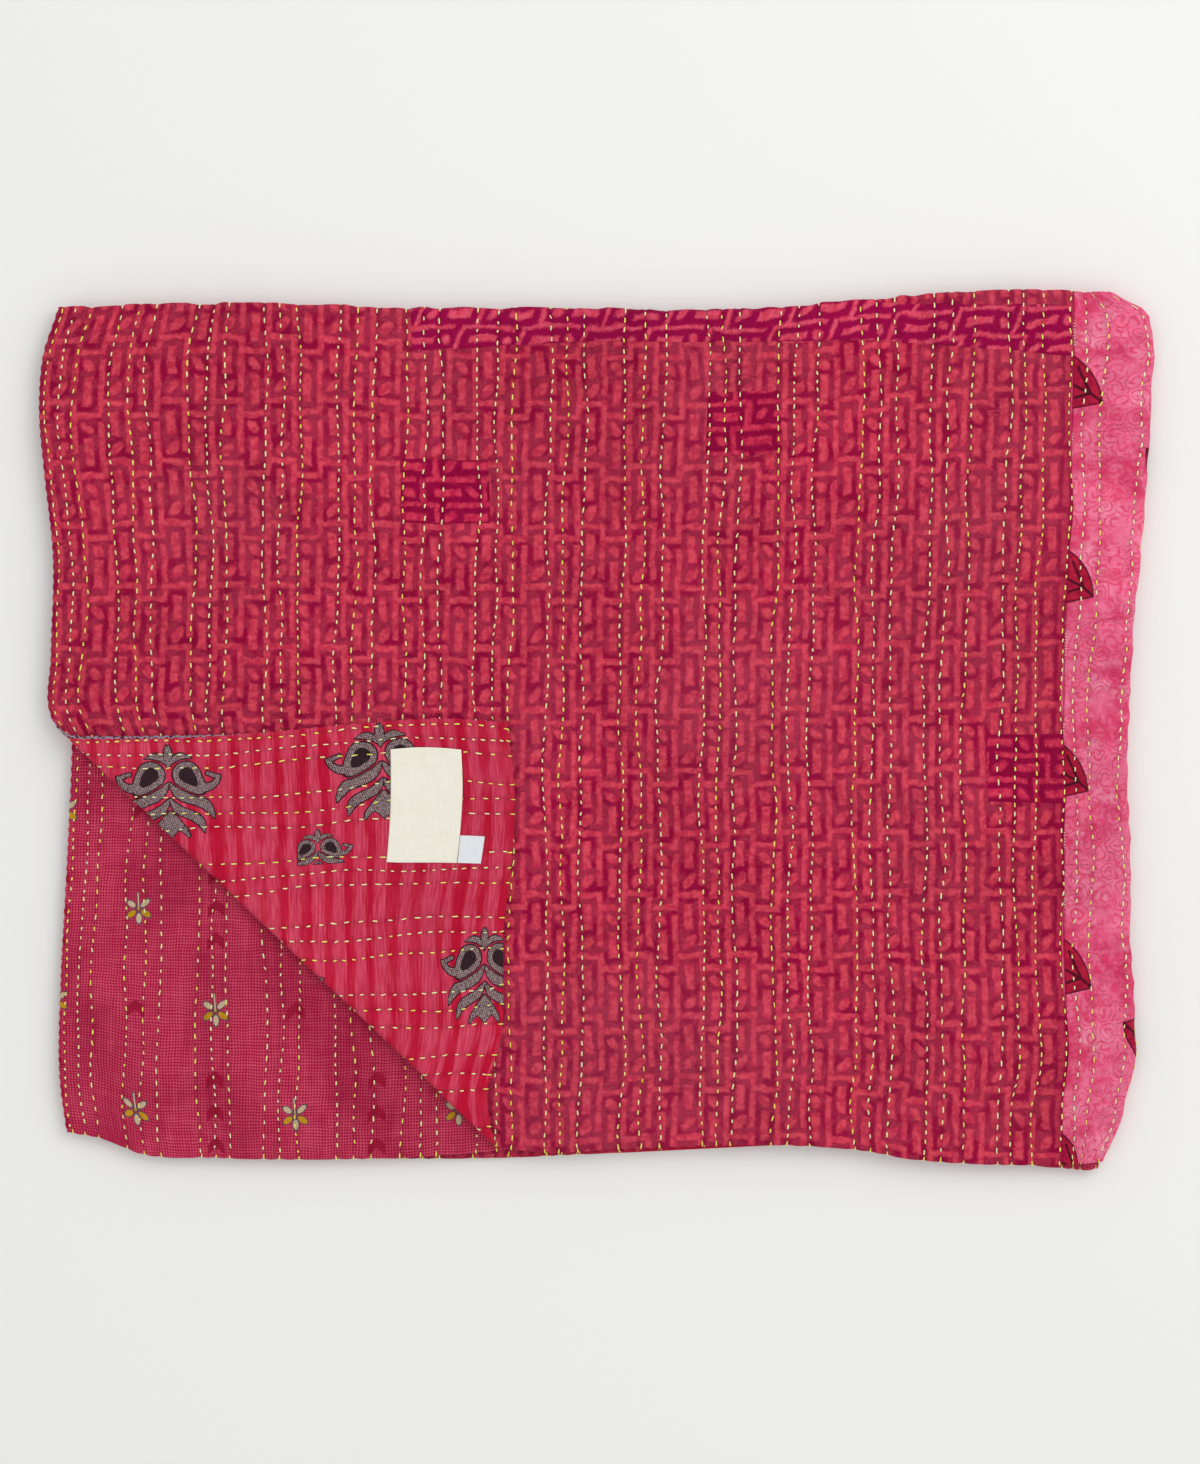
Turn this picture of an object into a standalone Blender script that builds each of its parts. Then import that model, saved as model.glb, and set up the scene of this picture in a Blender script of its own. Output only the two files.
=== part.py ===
"""A kantha quilt, folded in quarters with one corner turned back, and the small cloths sewn on it.

The quilt is one sheet of cotton layers sewn through with running stitch. It is modelled flat, with its
uneven hems and its stitched rows, then folded: the corner first, then the far half, then the right half.
Metres, +Z up. The first fold lies along +Y and the second along +X, and the quilt rests on z = 0.
"""

import math
from collections import namedtuple

import bmesh
import bpy
import numpy as np

# The quilted sheet. Its width runs from the left hem, its length from the near hem.
LAYER = 0.0026  # thickness between two rows of stitching
ROW_PINCH = 0.00045  # how far a stitched row draws each face in
HEM_EDGE = 0.5  # the outermost line's share of the thickness
HEM_TURN = 0.0035  # width over which the hem thins to that edge
LEFT = -0.3464  # where the left hem lies, before its unevenness
NEAR = -0.2685  # where the near hem lies, before its unevenness
HALF_WIDTH = 0.6862  # left hem to the start of the right fold
HALF_LENGTH = 0.5390  # near hem to the start of the far fold

# The two folds. Each is a half turn, as tight as the layers inside it let it be.
LAYER_GAP = 0.0010
MIDDLE_GAP = 0.0012
FAR_RADIUS = (LAYER + LAYER_GAP) / 2
RIGHT_RADIUS = (3 * LAYER + 2 * LAYER_GAP + MIDDLE_GAP) / 2
STACK = 2 * RIGHT_RADIUS + LAYER  # height of the four layers
MIDDLE = (0.0006, 0.0009)  # the middle of the folded quilt's box, which is brought over the origin
FOLD_STEPS = 4

# The corner that is turned back over the top layer. The crease's outer edge slants from place to place.
CREASE_LEFT = (-0.3356, -0.0073)
CREASE_NEAR = (-0.0625, -0.2673)
CREASE_RADIUS = 0.0030
FLAP_GAP = 0.0010  # between the flap and the layer it has come to rest on
FLAP_SETTLES = 0.030  # past the bend, how far the flap runs before it lies flat

# Small cloths sewn on.
SEWN_GAP = 0.0003
PATCH = 0.0010
LABEL = 0.0010

RowGroup = namedtuple("RowGroup", "first second third")
Place = namedtuple("Place", "along out")
Swell = namedtuple("Swell", "x y half_length half_width turn height")
Patch = namedtuple("Patch", "name left right near far")
Label = namedtuple("Label", "name near_left near_right far_right far_left")

# Rows of running stitch, in groups of three, from the left hem.
ROW_GROUPS = [
    RowGroup(0.0035, 0.0120, 0.0205),
    RowGroup(0.0415, 0.0535, 0.0640),
    RowGroup(0.0896, 0.1000, 0.1096),
    RowGroup(0.1341, 0.1444, 0.1560),
    RowGroup(0.1805, 0.1914, 0.2029),
    RowGroup(0.2234, 0.2355, 0.2464),
    RowGroup(0.2694, 0.2816, 0.2918),
    RowGroup(0.3149, 0.3251, 0.3373),
    RowGroup(0.3629, 0.3750, 0.3878),
    RowGroup(0.4154, 0.4256, 0.4358),
    RowGroup(0.4608, 0.4710, 0.4845),
    RowGroup(0.5133, 0.5242, 0.5357),
    RowGroup(0.5581, 0.5690, 0.5830),
    RowGroup(0.6067, 0.6163, 0.6291),
    RowGroup(0.6464, 0.6550, 0.6666),
]

# Lines across the top layer, from the near hem. The patches start and end on them.
CROSS_LINES = [
    0.0320, 0.0704, 0.1216, 0.1728, 0.2208, 0.2637, 0.3072, 0.3520, 0.4026, 0.4448, 0.4883, 0.5107,
]
PLAIN_STEPS = 4  # steps across a layer that lies hidden

# How far each hem stands out past its straight line, by the distance along it. A hem runs on round the
# fold, from one layer's edge to the next one's.
LEFT_HEM = [
    Place(0.000, -0.0110),
    Place(0.040, -0.0061),
    Place(0.084, -0.0072),
    Place(0.143, -0.0105),
    Place(0.198, -0.0094),
    Place(0.238, -0.0075),
    Place(0.262, -0.0050),
    Place(0.280, 0.0032),
    Place(0.317, 0.0026),
    Place(0.381, 0.0013),
    Place(0.436, 0.0070),
    Place(0.479, 0.0102),
    Place(0.513, 0.0070),
    Place(0.539, -0.0015),
    Place(0.610, -0.0060),
    Place(0.823, -0.0105),
    Place(0.902, -0.0070),
    Place(0.980, -0.0030),
    Place(1.055, -0.0030),
    Place(1.084, -0.0070),
]
NEAR_HEM = [
    Place(0.000, 0.0200),
    Place(0.050, 0.0220),
    Place(0.105, 0.0163),
    Place(0.131, 0.0118),
    Place(0.177, 0.0083),
    Place(0.203, 0.0064),
    Place(0.250, -0.0050),
    Place(0.283, -0.0013),
    Place(0.320, 0.0022),
    Place(0.358, 0.0000),
    Place(0.423, -0.0026),
    Place(0.487, -0.0019),
    Place(0.523, 0.0013),
    Place(0.552, 0.0064),
    Place(0.600, 0.0096),
    Place(0.686, 0.0083),
    Place(0.760, 0.0010),
    Place(1.300, -0.0030),
    Place(1.389, -0.0190),
]
UNDER_HEM = [
    Place(0.000, -0.0105),
    Place(0.025, -0.0058),
    Place(0.050, 0.0030),
    Place(0.100, 0.0058),
    Place(0.180, 0.0067),
    Place(0.240, 0.0048),
    Place(0.300, 0.0000),
    Place(0.400, -0.0050),
    Place(0.560, -0.0020),
    Place(0.640, 0.0120),
    Place(0.680, 0.0135),
    Place(0.740, 0.0040),
    Place(1.300, -0.0030),
    Place(1.389, -0.0190),
]
RIGHT_HEM = [
    Place(0.000, -0.0190),
    Place(0.074, -0.0130),
    Place(0.149, -0.0210),
    Place(0.223, -0.0260),
    Place(0.297, -0.0170),
    Place(0.371, -0.0110),
    Place(0.539, -0.0080),
    Place(0.707, -0.0110),
    Place(0.781, -0.0170),
    Place(0.855, -0.0260),
    Place(0.929, -0.0210),
    Place(1.010, -0.0130),
    Place(1.084, -0.0190),
]
HEM_REACH = 0.160  # how far into the cloth a hem's unevenness is felt
BAND_WIDTH = 0.0460  # the stretch beside the right fold that follows the fold most
BAND_EASE = 0.42  # the share of the right fold's bow that is felt at the band's inner edge

# How far each fold bows out past its straight line, by place along it.
FAR_FOLD = [
    Place(-0.343, -0.0019),
    Place(-0.273, 0.0000),
    Place(-0.179, 0.0000),
    Place(-0.116, -0.0026),
    Place(-0.006, -0.0032),
    Place(0.067, -0.0045),
    Place(0.132, -0.0006),
    Place(0.168, 0.0026),
    Place(0.248, 0.0086),
    Place(0.332, 0.0083),
]
RIGHT_FOLD = [
    Place(-0.2740, -0.0200),
    Place(-0.2557, -0.0104),
    Place(-0.2350, -0.0051),
    Place(-0.2190, -0.0006),
    Place(-0.1900, 0.0000),
    Place(-0.1366, -0.0032),
    Place(-0.0700, -0.0032),
    Place(-0.0163, -0.0051),
    Place(0.0157, -0.0038),
    Place(0.0765, 0.0000),
    Place(0.1300, 0.0051),
    Place(0.1860, 0.0086),
    Place(0.2205, 0.0109),
    Place(0.2595, 0.0096),
    Place(0.2717, 0.0070),
    Place(0.2774, -0.0083),
    Place(0.2830, -0.0160),
]

# Soft swells (+) and troughs (-) of the whole stack. Turn is the long way's angle from +X, in degrees.
SWELLS = [
    Swell(0.240, 0.262, 0.110, 0.022, 2, 0.0022),
    Swell(-0.150, 0.255, 0.120, 0.020, 0, 0.0012),
    Swell(0.335, 0.100, 0.200, 0.024, 88, 0.0014),
    Swell(0.315, -0.235, 0.060, 0.030, 60, -0.0018),
    Swell(-0.045, 0.090, 0.100, 0.010, 90, -0.0011),
    Swell(0.190, -0.010, 0.150, 0.012, 88, -0.0010),
    Swell(0.075, -0.228, 0.050, 0.009, 20, -0.0012),
    Swell(-0.245, 0.075, 0.110, 0.055, 10, 0.0012),
    Swell(0.100, 0.100, 0.120, 0.060, 80, 0.0009),
    Swell(-0.325, -0.180, 0.100, 0.018, 90, -0.0012),
    Swell(0.110, -0.130, 0.090, 0.045, 75, 0.0010),
]

# The strip and the squares sewn on the top layer, by the lines of the sheet nearest to their edges.
PATCHES = [
    Patch("top_strip", 0.2265, 0.6394, 0.5107, HALF_LENGTH + math.pi * FAR_RADIUS / 2),
    Patch("patch_left", 0.2234, 0.2756, 0.4026, 0.4448),
    Patch("patch_middle", 0.4154, 0.4608, 0.4448, 0.4883),
    Patch("patch_right", 0.5950, 0.6464, 0.2208, 0.2637),
]

# The labels sewn on the turned-back corner, by their corners as they lie.
LABELS = [
    Label("label", (-0.1340, -0.0848), (-0.0890, -0.0852), (-0.0858, -0.0125), (-0.1312, -0.0125)),
    Label("care_label", (-0.0886, -0.0852), (-0.0736, -0.0857), (-0.0710, -0.0682), (-0.0868, -0.0675)),
]
LABEL_STEPS = 4

COLOURS = {
    "quilt": (0.56, 0.030, 0.085),
    "top_strip": (0.36, 0.006, 0.052),
    "patch_left": (0.34, 0.006, 0.050),
    "patch_middle": (0.34, 0.006, 0.050),
    "patch_right": (0.34, 0.006, 0.050),
    "label": (0.82, 0.79, 0.67),
    "care_label": (0.76, 0.79, 0.86),
}
COTTON_ROUGHNESS = 0.9


def clear_scene():
    for thing in list(bpy.data.objects):
        bpy.data.objects.remove(thing)


def curve_through(table, along):
    """The height of a smooth curve through a table's places, level past its two ends."""
    places = np.array([row.along for row in table])
    outs = np.array([row.out for row in table])
    slopes = np.gradient(outs, places)
    along = np.clip(along, places[0], places[-1])
    i = np.clip(np.searchsorted(places, along) - 1, 0, len(places) - 2)
    run = places[i + 1] - places[i]
    s = (along - places[i]) / run
    ends = outs[i] * (1 + 2 * s) * (1 - s) ** 2 + outs[i + 1] * s**2 * (3 - 2 * s)
    leans = slopes[i] * s * (1 - s) ** 2 - slopes[i + 1] * s**2 * (1 - s)
    return ends + leans * run


def easing(distance, reach):
    """1 at a distance of 0, falling smoothly to 0 at the reach."""
    s = np.clip(distance / reach, 0, 1)
    return (1 - s) ** 2 * (1 + 2 * s)


# The sheet's own grid of lines.

SHEET_WIDTH = 2 * HALF_WIDTH + math.pi * RIGHT_RADIUS
SHEET_LENGTH = 2 * HALF_LENGTH + math.pi * FAR_RADIUS


def lines_across_width():
    """Distances from the left hem of the stitched rows, of the crowns between them, and of the plain rest."""
    rows = [row for group in ROW_GROUPS for row in group]
    crowns = [(one + other) / 2 for one, other in zip(rows, rows[1:])]
    fold = np.linspace(HALF_WIDTH, HALF_WIDTH + math.pi * RIGHT_RADIUS, FOLD_STEPS + 1)
    plain = np.linspace(fold[-1], SHEET_WIDTH - HEM_TURN, PLAIN_STEPS + 1)[1:]
    return np.array(sorted([0, *rows, *crowns, *fold, *plain, SHEET_WIDTH]))


def lines_across_length():
    """Distances from the near hem of the top layer's lines, of the far fold's, and of the layer under it."""
    fold = np.linspace(HALF_LENGTH, HALF_LENGTH + math.pi * FAR_RADIUS, FOLD_STEPS + 1)
    plain = np.linspace(fold[-1], SHEET_LENGTH - HEM_TURN, PLAIN_STEPS + 1)[1:]
    return np.array([0, HEM_TURN, *CROSS_LINES, *fold, *plain, SHEET_LENGTH])


def half_thickness(across, along):
    """Half the sheet's thickness: least at the hems, drawn in at each stitched row."""
    rows = [row for group in ROW_GROUPS for row in group]
    drawn = ROW_PINCH * np.isin(across, rows)
    inside = np.minimum.reduce([across, SHEET_WIDTH - across, along, SHEET_LENGTH - along])
    share = HEM_EDGE + (1 - HEM_EDGE) * np.clip(inside / HEM_TURN, 0, 1)
    return share * LAYER / 2 - drawn


# Folding. Each step takes and gives points (x, y, z), where z is the height off the top layer's middle.

def spread_flat(across, along):
    """Where the sheet's lines cross when it lies open, with its uneven hems."""
    x = across - easing(across, HEM_REACH) * curve_through(LEFT_HEM, along)
    x = x + easing(SHEET_WIDTH - across, HEM_REACH) * curve_through(RIGHT_HEM, along)
    y = along - easing(along, HEM_REACH) * curve_through(NEAR_HEM, across)
    y = y + easing(SHEET_LENGTH - along, HEM_REACH) * curve_through(UNDER_HEM, across)
    return LEFT + x, NEAR + y


def crease_frame():
    """A point where the bend of the crease starts, and the level direction towards the corner."""
    (x0, y0), (x1, y1) = CREASE_LEFT, CREASE_NEAR
    run = math.hypot(x1 - x0, y1 - y0)
    towards = np.array([(y1 - y0) / run, (x0 - x1) / run])
    return np.array(CREASE_LEFT) - (CREASE_RADIUS + LAYER / 2) * towards, towards


def turn_corner(x, y, z):
    """Rolls the cloth past the crease up and over, and lets it down on the top layer."""
    start, towards = crease_frame()
    past = (x - start[0]) * towards[0] + (y - start[1]) * towards[1]
    bend = math.pi * CREASE_RADIUS
    angle = np.clip(past, 0, bend) / CREASE_RADIUS
    beyond = np.maximum(past - bend, 0)
    reach = (CREASE_RADIUS - z) * np.sin(angle) - beyond
    height = CREASE_RADIUS - (CREASE_RADIUS - z) * np.cos(angle)
    spare = 2 * CREASE_RADIUS - LAYER - FLAP_GAP
    height = height - spare * (1 - easing(beyond, FLAP_SETTLES))
    shift = np.where(past > 0, reach - past, 0)
    return x + shift * towards[0], y + shift * towards[1], np.where(past > 0, height, z)


def fold_under(run, z, at, radius):
    """Folds what lies past a line down and back under. It gives the new run and height."""
    angle = np.clip((run - at) / radius, 0, math.pi)
    back = np.maximum(run - at - math.pi * radius, 0)
    folded = at + (radius + z) * np.sin(angle) - back
    return np.where(run > at, folded, run), (radius + z) * np.cos(angle) - radius


def settle(x, y, z):
    """Bows the two folds as the stack lies, and adds its swells and troughs, which fade to nothing below."""
    far_edge = NEAR + HALF_LENGTH + FAR_RADIUS + LAYER / 2
    right_edge = LEFT + HALF_WIDTH + RIGHT_RADIUS + LAYER / 2
    y = y + ((y - NEAR) / (far_edge - NEAR)).clip(0) ** 2 * curve_through(FAR_FOLD, x)
    felt = BAND_EASE * ((x - LEFT) / (right_edge - BAND_WIDTH - LEFT)).clip(0, 1)
    felt = felt + (1 - BAND_EASE) * easing(right_edge - x, BAND_WIDTH)
    x = x + felt * curve_through(RIGHT_FOLD, y)
    z = z + STACK - LAYER / 2
    relief = 0
    for swell in SWELLS:
        turn = math.radians(swell.turn)
        long_way = (x - swell.x) * math.cos(turn) + (y - swell.y) * math.sin(turn)
        short_way = (y - swell.y) * math.cos(turn) - (x - swell.x) * math.sin(turn)
        spread = (long_way / swell.half_length) ** 2 + (short_way / swell.half_width) ** 2
        relief = relief + swell.height * np.exp(-spread)
    return x, y, z * (1 + relief / STACK)


def fold_up(points):
    """Folds points of the open sheet to where they lie in the folded quilt."""
    x, y, z = turn_corner(*points.T)
    y, z = fold_under(y, z, NEAR + HALF_LENGTH, FAR_RADIUS)
    x, z = fold_under(x, z, LEFT + HALF_WIDTH, RIGHT_RADIUS)
    x, y, z = settle(x, y, z)
    return np.stack([x - MIDDLE[0], y - MIDDLE[1], z], axis=1)


# Making the pieces.

def flat_slab(x, y, under, over):
    """A closed sheet as a new bmesh, from grids of places and of the heights of its two faces."""
    mesh = bmesh.new()
    columns, rows = x.shape
    faces = []
    for z in (under, over):
        corners = zip(x.flat, y.flat, z.flat)
        faces.append(np.array([mesh.verts.new(corner) for corner in corners]).reshape(columns, rows))
    low, high = faces
    for i in range(columns - 1):
        for j in range(rows - 1):
            mesh.faces.new([high[i, j], high[i + 1, j], high[i + 1, j + 1], high[i, j + 1]])
            mesh.faces.new([low[i, j], low[i, j + 1], low[i + 1, j + 1], low[i + 1, j]])
    for i in range(columns - 1):
        mesh.faces.new([low[i, 0], low[i + 1, 0], high[i + 1, 0], high[i, 0]])
        mesh.faces.new([high[i, -1], high[i + 1, -1], low[i + 1, -1], low[i, -1]])
    for j in range(rows - 1):
        mesh.faces.new([high[0, j], high[0, j + 1], low[0, j + 1], low[0, j]])
        mesh.faces.new([low[-1, j], low[-1, j + 1], high[-1, j + 1], high[-1, j]])
    return mesh


def cut_crease_lines(mesh):
    """Adds the lines along which the corner bends and comes down, so that it rolls over smoothly."""
    start, towards = crease_frame()
    bend = math.pi * CREASE_RADIUS
    steps = [bend * step / FOLD_STEPS for step in range(FOLD_STEPS + 1)]
    for past in [*steps, bend + 0.4 * FLAP_SETTLES, bend + FLAP_SETTLES]:
        bmesh.ops.bisect_plane(
            mesh,
            geom=[*mesh.verts, *mesh.edges, *mesh.faces],
            plane_co=(*(start + past * towards), 0),
            plane_no=(*towards, 0),
        )
    bmesh.ops.remove_doubles(mesh, verts=mesh.verts, dist=0.4 * LAYER / 2)


def add_piece(name, mesh):
    """Folds a flat piece with the quilt, and gives it its material."""
    bmesh.ops.triangulate(mesh, faces=mesh.faces, quad_method="FIXED", ngon_method="BEAUTY")
    folded = fold_up(np.array([vert.co for vert in mesh.verts]))
    for vert, place in zip(mesh.verts, folded):
        vert.co = place
    data = bpy.data.meshes.new(name)
    mesh.to_mesh(data)
    mesh.free()
    data.shade_smooth()
    data.set_sharp_from_angle(angle=math.radians(40))
    piece = bpy.data.objects.new(name, data)
    bpy.context.scene.collection.objects.link(piece)
    material = bpy.data.materials.new(name)
    material.use_nodes = True
    finish = material.node_tree.nodes["Principled BSDF"]
    finish.inputs["Base Color"].default_value = (*COLOURS[name], 1)
    finish.inputs["Roughness"].default_value = COTTON_ROUGHNESS
    finish.inputs["Metallic"].default_value = 0
    data.materials.append(material)
    return piece


def sheet_grid(across, along):
    across, along = np.meshgrid(across, along, indexing="ij")
    return *spread_flat(across, along), half_thickness(across, along)


def make_quilt():
    x, y, half = sheet_grid(lines_across_width(), lines_across_length())
    mesh = flat_slab(x, y, -half, half)
    cut_crease_lines(mesh)
    return add_piece("quilt", mesh)


def lines_between(lines, first, last):
    """The sheet's lines from the one nearest first to the one nearest last."""
    start, end = (int(np.abs(lines - edge).argmin()) for edge in (first, last))
    return lines[start : end + 1]


def make_patch(patch):
    across = lines_between(lines_across_width(), patch.left, patch.right)
    along = lines_between(lines_across_length(), patch.near, patch.far)
    x, y, half = sheet_grid(across, along)
    return add_piece(patch.name, flat_slab(x, y, half + SEWN_GAP, half + SEWN_GAP + PATCH))


def make_label(label):
    """Lays a label out between its corners, turns it back with the flap, and sews it on the underside."""
    corners = np.array(label[1:])
    start, towards = crease_frame()
    past = (corners - start) @ towards
    bend = math.pi * CREASE_RADIUS
    corners = corners + np.outer(bend - 2 * past, towards)
    s, t = np.meshgrid(*[np.linspace(0, 1, LABEL_STEPS + 1)] * 2, indexing="ij")
    shares = [(1 - s) * (1 - t), s * (1 - t), s * t, (1 - s) * t]
    x, y = (sum(share * place for share, place in zip(shares, corners[:, axis])) for axis in (0, 1))
    face = np.full_like(x, -LAYER / 2 - SEWN_GAP)
    mesh = flat_slab(x, y, face - LABEL, face)
    bmesh.ops.recalc_face_normals(mesh, faces=mesh.faces)
    return add_piece(label.name, mesh)


clear_scene()
make_quilt()
for patch in PATCHES:
    make_patch(patch)
for label in LABELS:
    make_label(label)
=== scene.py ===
"""A kantha quilt, folded in quarters with one corner turned back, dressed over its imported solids.

The cloth is drawn flat, as a sheet of lines measured from its left hem and its near hem, and is then folded
the way the solids are: the corner first, then the far half, then the right half. Metres, +Z up.
"""

import math
from collections import namedtuple

import bmesh
import bpy
import mathutils
import numpy as np
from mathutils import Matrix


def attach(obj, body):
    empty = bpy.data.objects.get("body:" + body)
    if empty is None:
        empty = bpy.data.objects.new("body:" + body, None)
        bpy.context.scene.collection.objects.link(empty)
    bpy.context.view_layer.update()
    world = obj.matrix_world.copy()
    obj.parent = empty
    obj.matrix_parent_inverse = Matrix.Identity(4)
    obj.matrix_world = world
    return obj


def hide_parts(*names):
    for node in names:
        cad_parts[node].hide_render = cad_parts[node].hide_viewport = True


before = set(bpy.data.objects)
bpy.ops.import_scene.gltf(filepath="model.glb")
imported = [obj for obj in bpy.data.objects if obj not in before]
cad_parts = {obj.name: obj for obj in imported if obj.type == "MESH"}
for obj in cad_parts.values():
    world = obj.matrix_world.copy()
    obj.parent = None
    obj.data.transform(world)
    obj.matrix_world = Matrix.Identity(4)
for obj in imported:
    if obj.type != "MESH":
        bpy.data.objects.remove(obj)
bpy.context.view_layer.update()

# The quilted sheet. Layers of old printed cotton saris, laid together and sewn through with rows of running
# stitch in groups of three. The rows draw the cloth in, and it stands up softly between them.

LAYER = 0.0026
LEFT = -0.3464
NEAR = -0.2685
HALF_WIDTH = 0.6862
HALF_LENGTH = 0.5390
LAYER_GAP = 0.0010
MIDDLE_GAP = 0.0012
FAR_RADIUS = (LAYER + LAYER_GAP) / 2
RIGHT_RADIUS = (3 * LAYER + 2 * LAYER_GAP + MIDDLE_GAP) / 2
STACK = 2 * RIGHT_RADIUS + LAYER
SHEET_WIDTH = 2 * HALF_WIDTH + math.pi * RIGHT_RADIUS
SHEET_LENGTH = 2 * HALF_LENGTH + math.pi * FAR_RADIUS
MIDDLE = (0.0006, 0.0009)

CREASE_LEFT = (-0.3356, -0.0073)
CREASE_NEAR = (-0.0625, -0.2673)
CREASE_RADIUS = 0.0030
CREASE_BEND = math.pi * CREASE_RADIUS
FLAP_GAP = 0.0010
FLAP_SETTLES = 0.030

# Where each group's three rows lie, from the left hem. Those underneath mirror the ones on top.
TOP_GROUPS = [
    (0.0035, 0.0120, 0.0205), (0.0415, 0.0535, 0.0640), (0.0896, 0.1000, 0.1096), (0.1341, 0.1444, 0.1560),
    (0.1805, 0.1914, 0.2029), (0.2234, 0.2355, 0.2464), (0.2694, 0.2816, 0.2918), (0.3149, 0.3251, 0.3373),
    (0.3629, 0.3750, 0.3878), (0.4154, 0.4256, 0.4358), (0.4608, 0.4710, 0.4845), (0.5133, 0.5242, 0.5357),
    (0.5581, 0.5690, 0.5830), (0.6067, 0.6163, 0.6291), (0.6464, 0.6550, 0.6650), (0.6862, 0.6955, 0.7100),
]
UNDER_GROUPS = [tuple(SHEET_WIDTH - row for row in reversed(group)) for group in TOP_GROUPS[13::-1]]
ROWS = np.array(TOP_GROUPS + UNDER_GROUPS).ravel()

# How far each hem and each fold strays from its straight line: the place along it, and how far out.
LEFT_HEM = [
    (0.000, -0.0110), (0.040, -0.0061), (0.084, -0.0072), (0.143, -0.0105), (0.198, -0.0094),
    (0.238, -0.0075), (0.262, -0.0050), (0.280, 0.0032), (0.317, 0.0026), (0.381, 0.0013),
    (0.436, 0.0070), (0.479, 0.0102), (0.513, 0.0070), (0.539, -0.0015), (0.610, -0.0060),
    (0.823, -0.0105), (0.902, -0.0070), (0.980, -0.0030), (1.055, -0.0030), (1.084, -0.0070),
]
NEAR_HEM = [
    (0.000, 0.0200), (0.050, 0.0220), (0.105, 0.0163), (0.131, 0.0118), (0.177, 0.0083),
    (0.203, 0.0064), (0.250, -0.0050), (0.283, -0.0013), (0.320, 0.0022), (0.358, 0.0000),
    (0.423, -0.0026), (0.487, -0.0019), (0.523, 0.0013), (0.552, 0.0064), (0.600, 0.0096),
    (0.686, 0.0083), (0.760, 0.0010), (1.300, -0.0030), (1.389, -0.0190),
]
UNDER_HEM = [
    (0.000, -0.0105), (0.025, -0.0058), (0.050, 0.0030), (0.100, 0.0058), (0.180, 0.0067),
    (0.240, 0.0048), (0.300, 0.0000), (0.400, -0.0050), (0.560, -0.0020), (0.640, 0.0120),
    (0.680, 0.0135), (0.740, 0.0040), (1.300, -0.0030), (1.389, -0.0190),
]
RIGHT_HEM = [
    (0.000, -0.0190), (0.074, -0.0130), (0.149, -0.0210), (0.223, -0.0260), (0.297, -0.0170),
    (0.371, -0.0110), (0.539, -0.0080), (0.707, -0.0110), (0.781, -0.0170), (0.855, -0.0260),
    (0.929, -0.0210), (1.010, -0.0130), (1.084, -0.0190),
]
HEM_REACH = 0.160
FAR_FOLD = [
    (-0.343, -0.0019), (-0.273, 0.0000), (-0.179, 0.0000), (-0.116, -0.0026), (-0.006, -0.0032),
    (0.067, -0.0045), (0.132, -0.0006), (0.168, 0.0026), (0.248, 0.0086), (0.332, 0.0083),
]
RIGHT_FOLD = [
    (-0.2740, -0.0200), (-0.2557, -0.0104), (-0.2350, -0.0051), (-0.2190, -0.0006), (-0.1900, 0.0000),
    (-0.1366, -0.0032), (-0.0700, -0.0032), (-0.0163, -0.0051), (0.0157, -0.0038), (0.0765, 0.0000),
    (0.1300, 0.0051), (0.1860, 0.0086), (0.2205, 0.0109), (0.2595, 0.0092), (0.2717, 0.0040),
    (0.2774, -0.0083), (0.2830, -0.0160),
]
BAND_WIDTH = 0.0460
BAND_EASE = 0.42
LEVEL_PART = (-0.2400, 0.2500)  # past these the right fold's corners round off, and only the band feels it
# Soft swells of the stack: where each lies, half its length and width, its turn in degrees and its height.
SWELLS = [
    (0.240, 0.262, 0.110, 0.022, 2, 0.0022),
    (-0.150, 0.255, 0.120, 0.020, 0, 0.0012),
    (0.335, 0.100, 0.200, 0.024, 88, 0.0014),
    (0.315, -0.235, 0.060, 0.030, 60, -0.0018),
    (-0.045, 0.090, 0.100, 0.010, 90, -0.0011),
    (0.190, -0.010, 0.150, 0.012, 88, -0.0010),
    (0.075, -0.228, 0.050, 0.009, 20, -0.0012),
    (-0.245, 0.075, 0.110, 0.055, 10, 0.0012),
    (0.100, 0.100, 0.120, 0.060, 80, 0.0009),
    (-0.325, -0.180, 0.100, 0.018, 90, -0.0012),
    (0.110, -0.130, 0.090, 0.045, 75, 0.0010),
]
RUMPLE = 0.0005  # how far the whole stack lifts and sinks unevenly
RUMPLE_SIZE = 0.026
EDGE_RIPPLE = 0.0010  # how far the two folds' edges wave in and out
RIPPLE_SIZE = 0.0085
RIPPLE_REACH = 0.03
WANDER = 0.0013  # how far the rows stray sideways
HEM_DRAWN = 0.0006  # how far a row's end draws the hem in
HEM_DRAWN_WIDTH = 0.0026
HEM_SCALLOP = 0.00035  # how far the first row's stitches draw the left hem in and out
HEM_DRAWN_REACH = 0.006
STITCH_PITCH = 0.0068
CIRCLE = 2 * math.pi


def curve_through(table, along):
    """The height of a smooth curve through a table's places, level past its two ends."""
    places, outs = np.array(table).T
    slopes = np.gradient(outs, places)
    along = np.clip(along, places[0], places[-1])
    i = np.clip(np.searchsorted(places, along) - 1, 0, len(places) - 2)
    run = places[i + 1] - places[i]
    s = (along - places[i]) / run
    ends = outs[i] * (1 + 2 * s) * (1 - s) ** 2 + outs[i + 1] * s**2 * (3 - 2 * s)
    leans = slopes[i] * s * (1 - s) ** 2 - slopes[i + 1] * s**2 * (1 - s)
    return ends + leans * run


def easing(distance, reach):
    """1 at a distance of 0, falling smoothly to 0 at the reach."""
    s = np.clip(distance / reach, 0, 1)
    return (1 - s) ** 2 * (1 + 2 * s)


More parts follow.
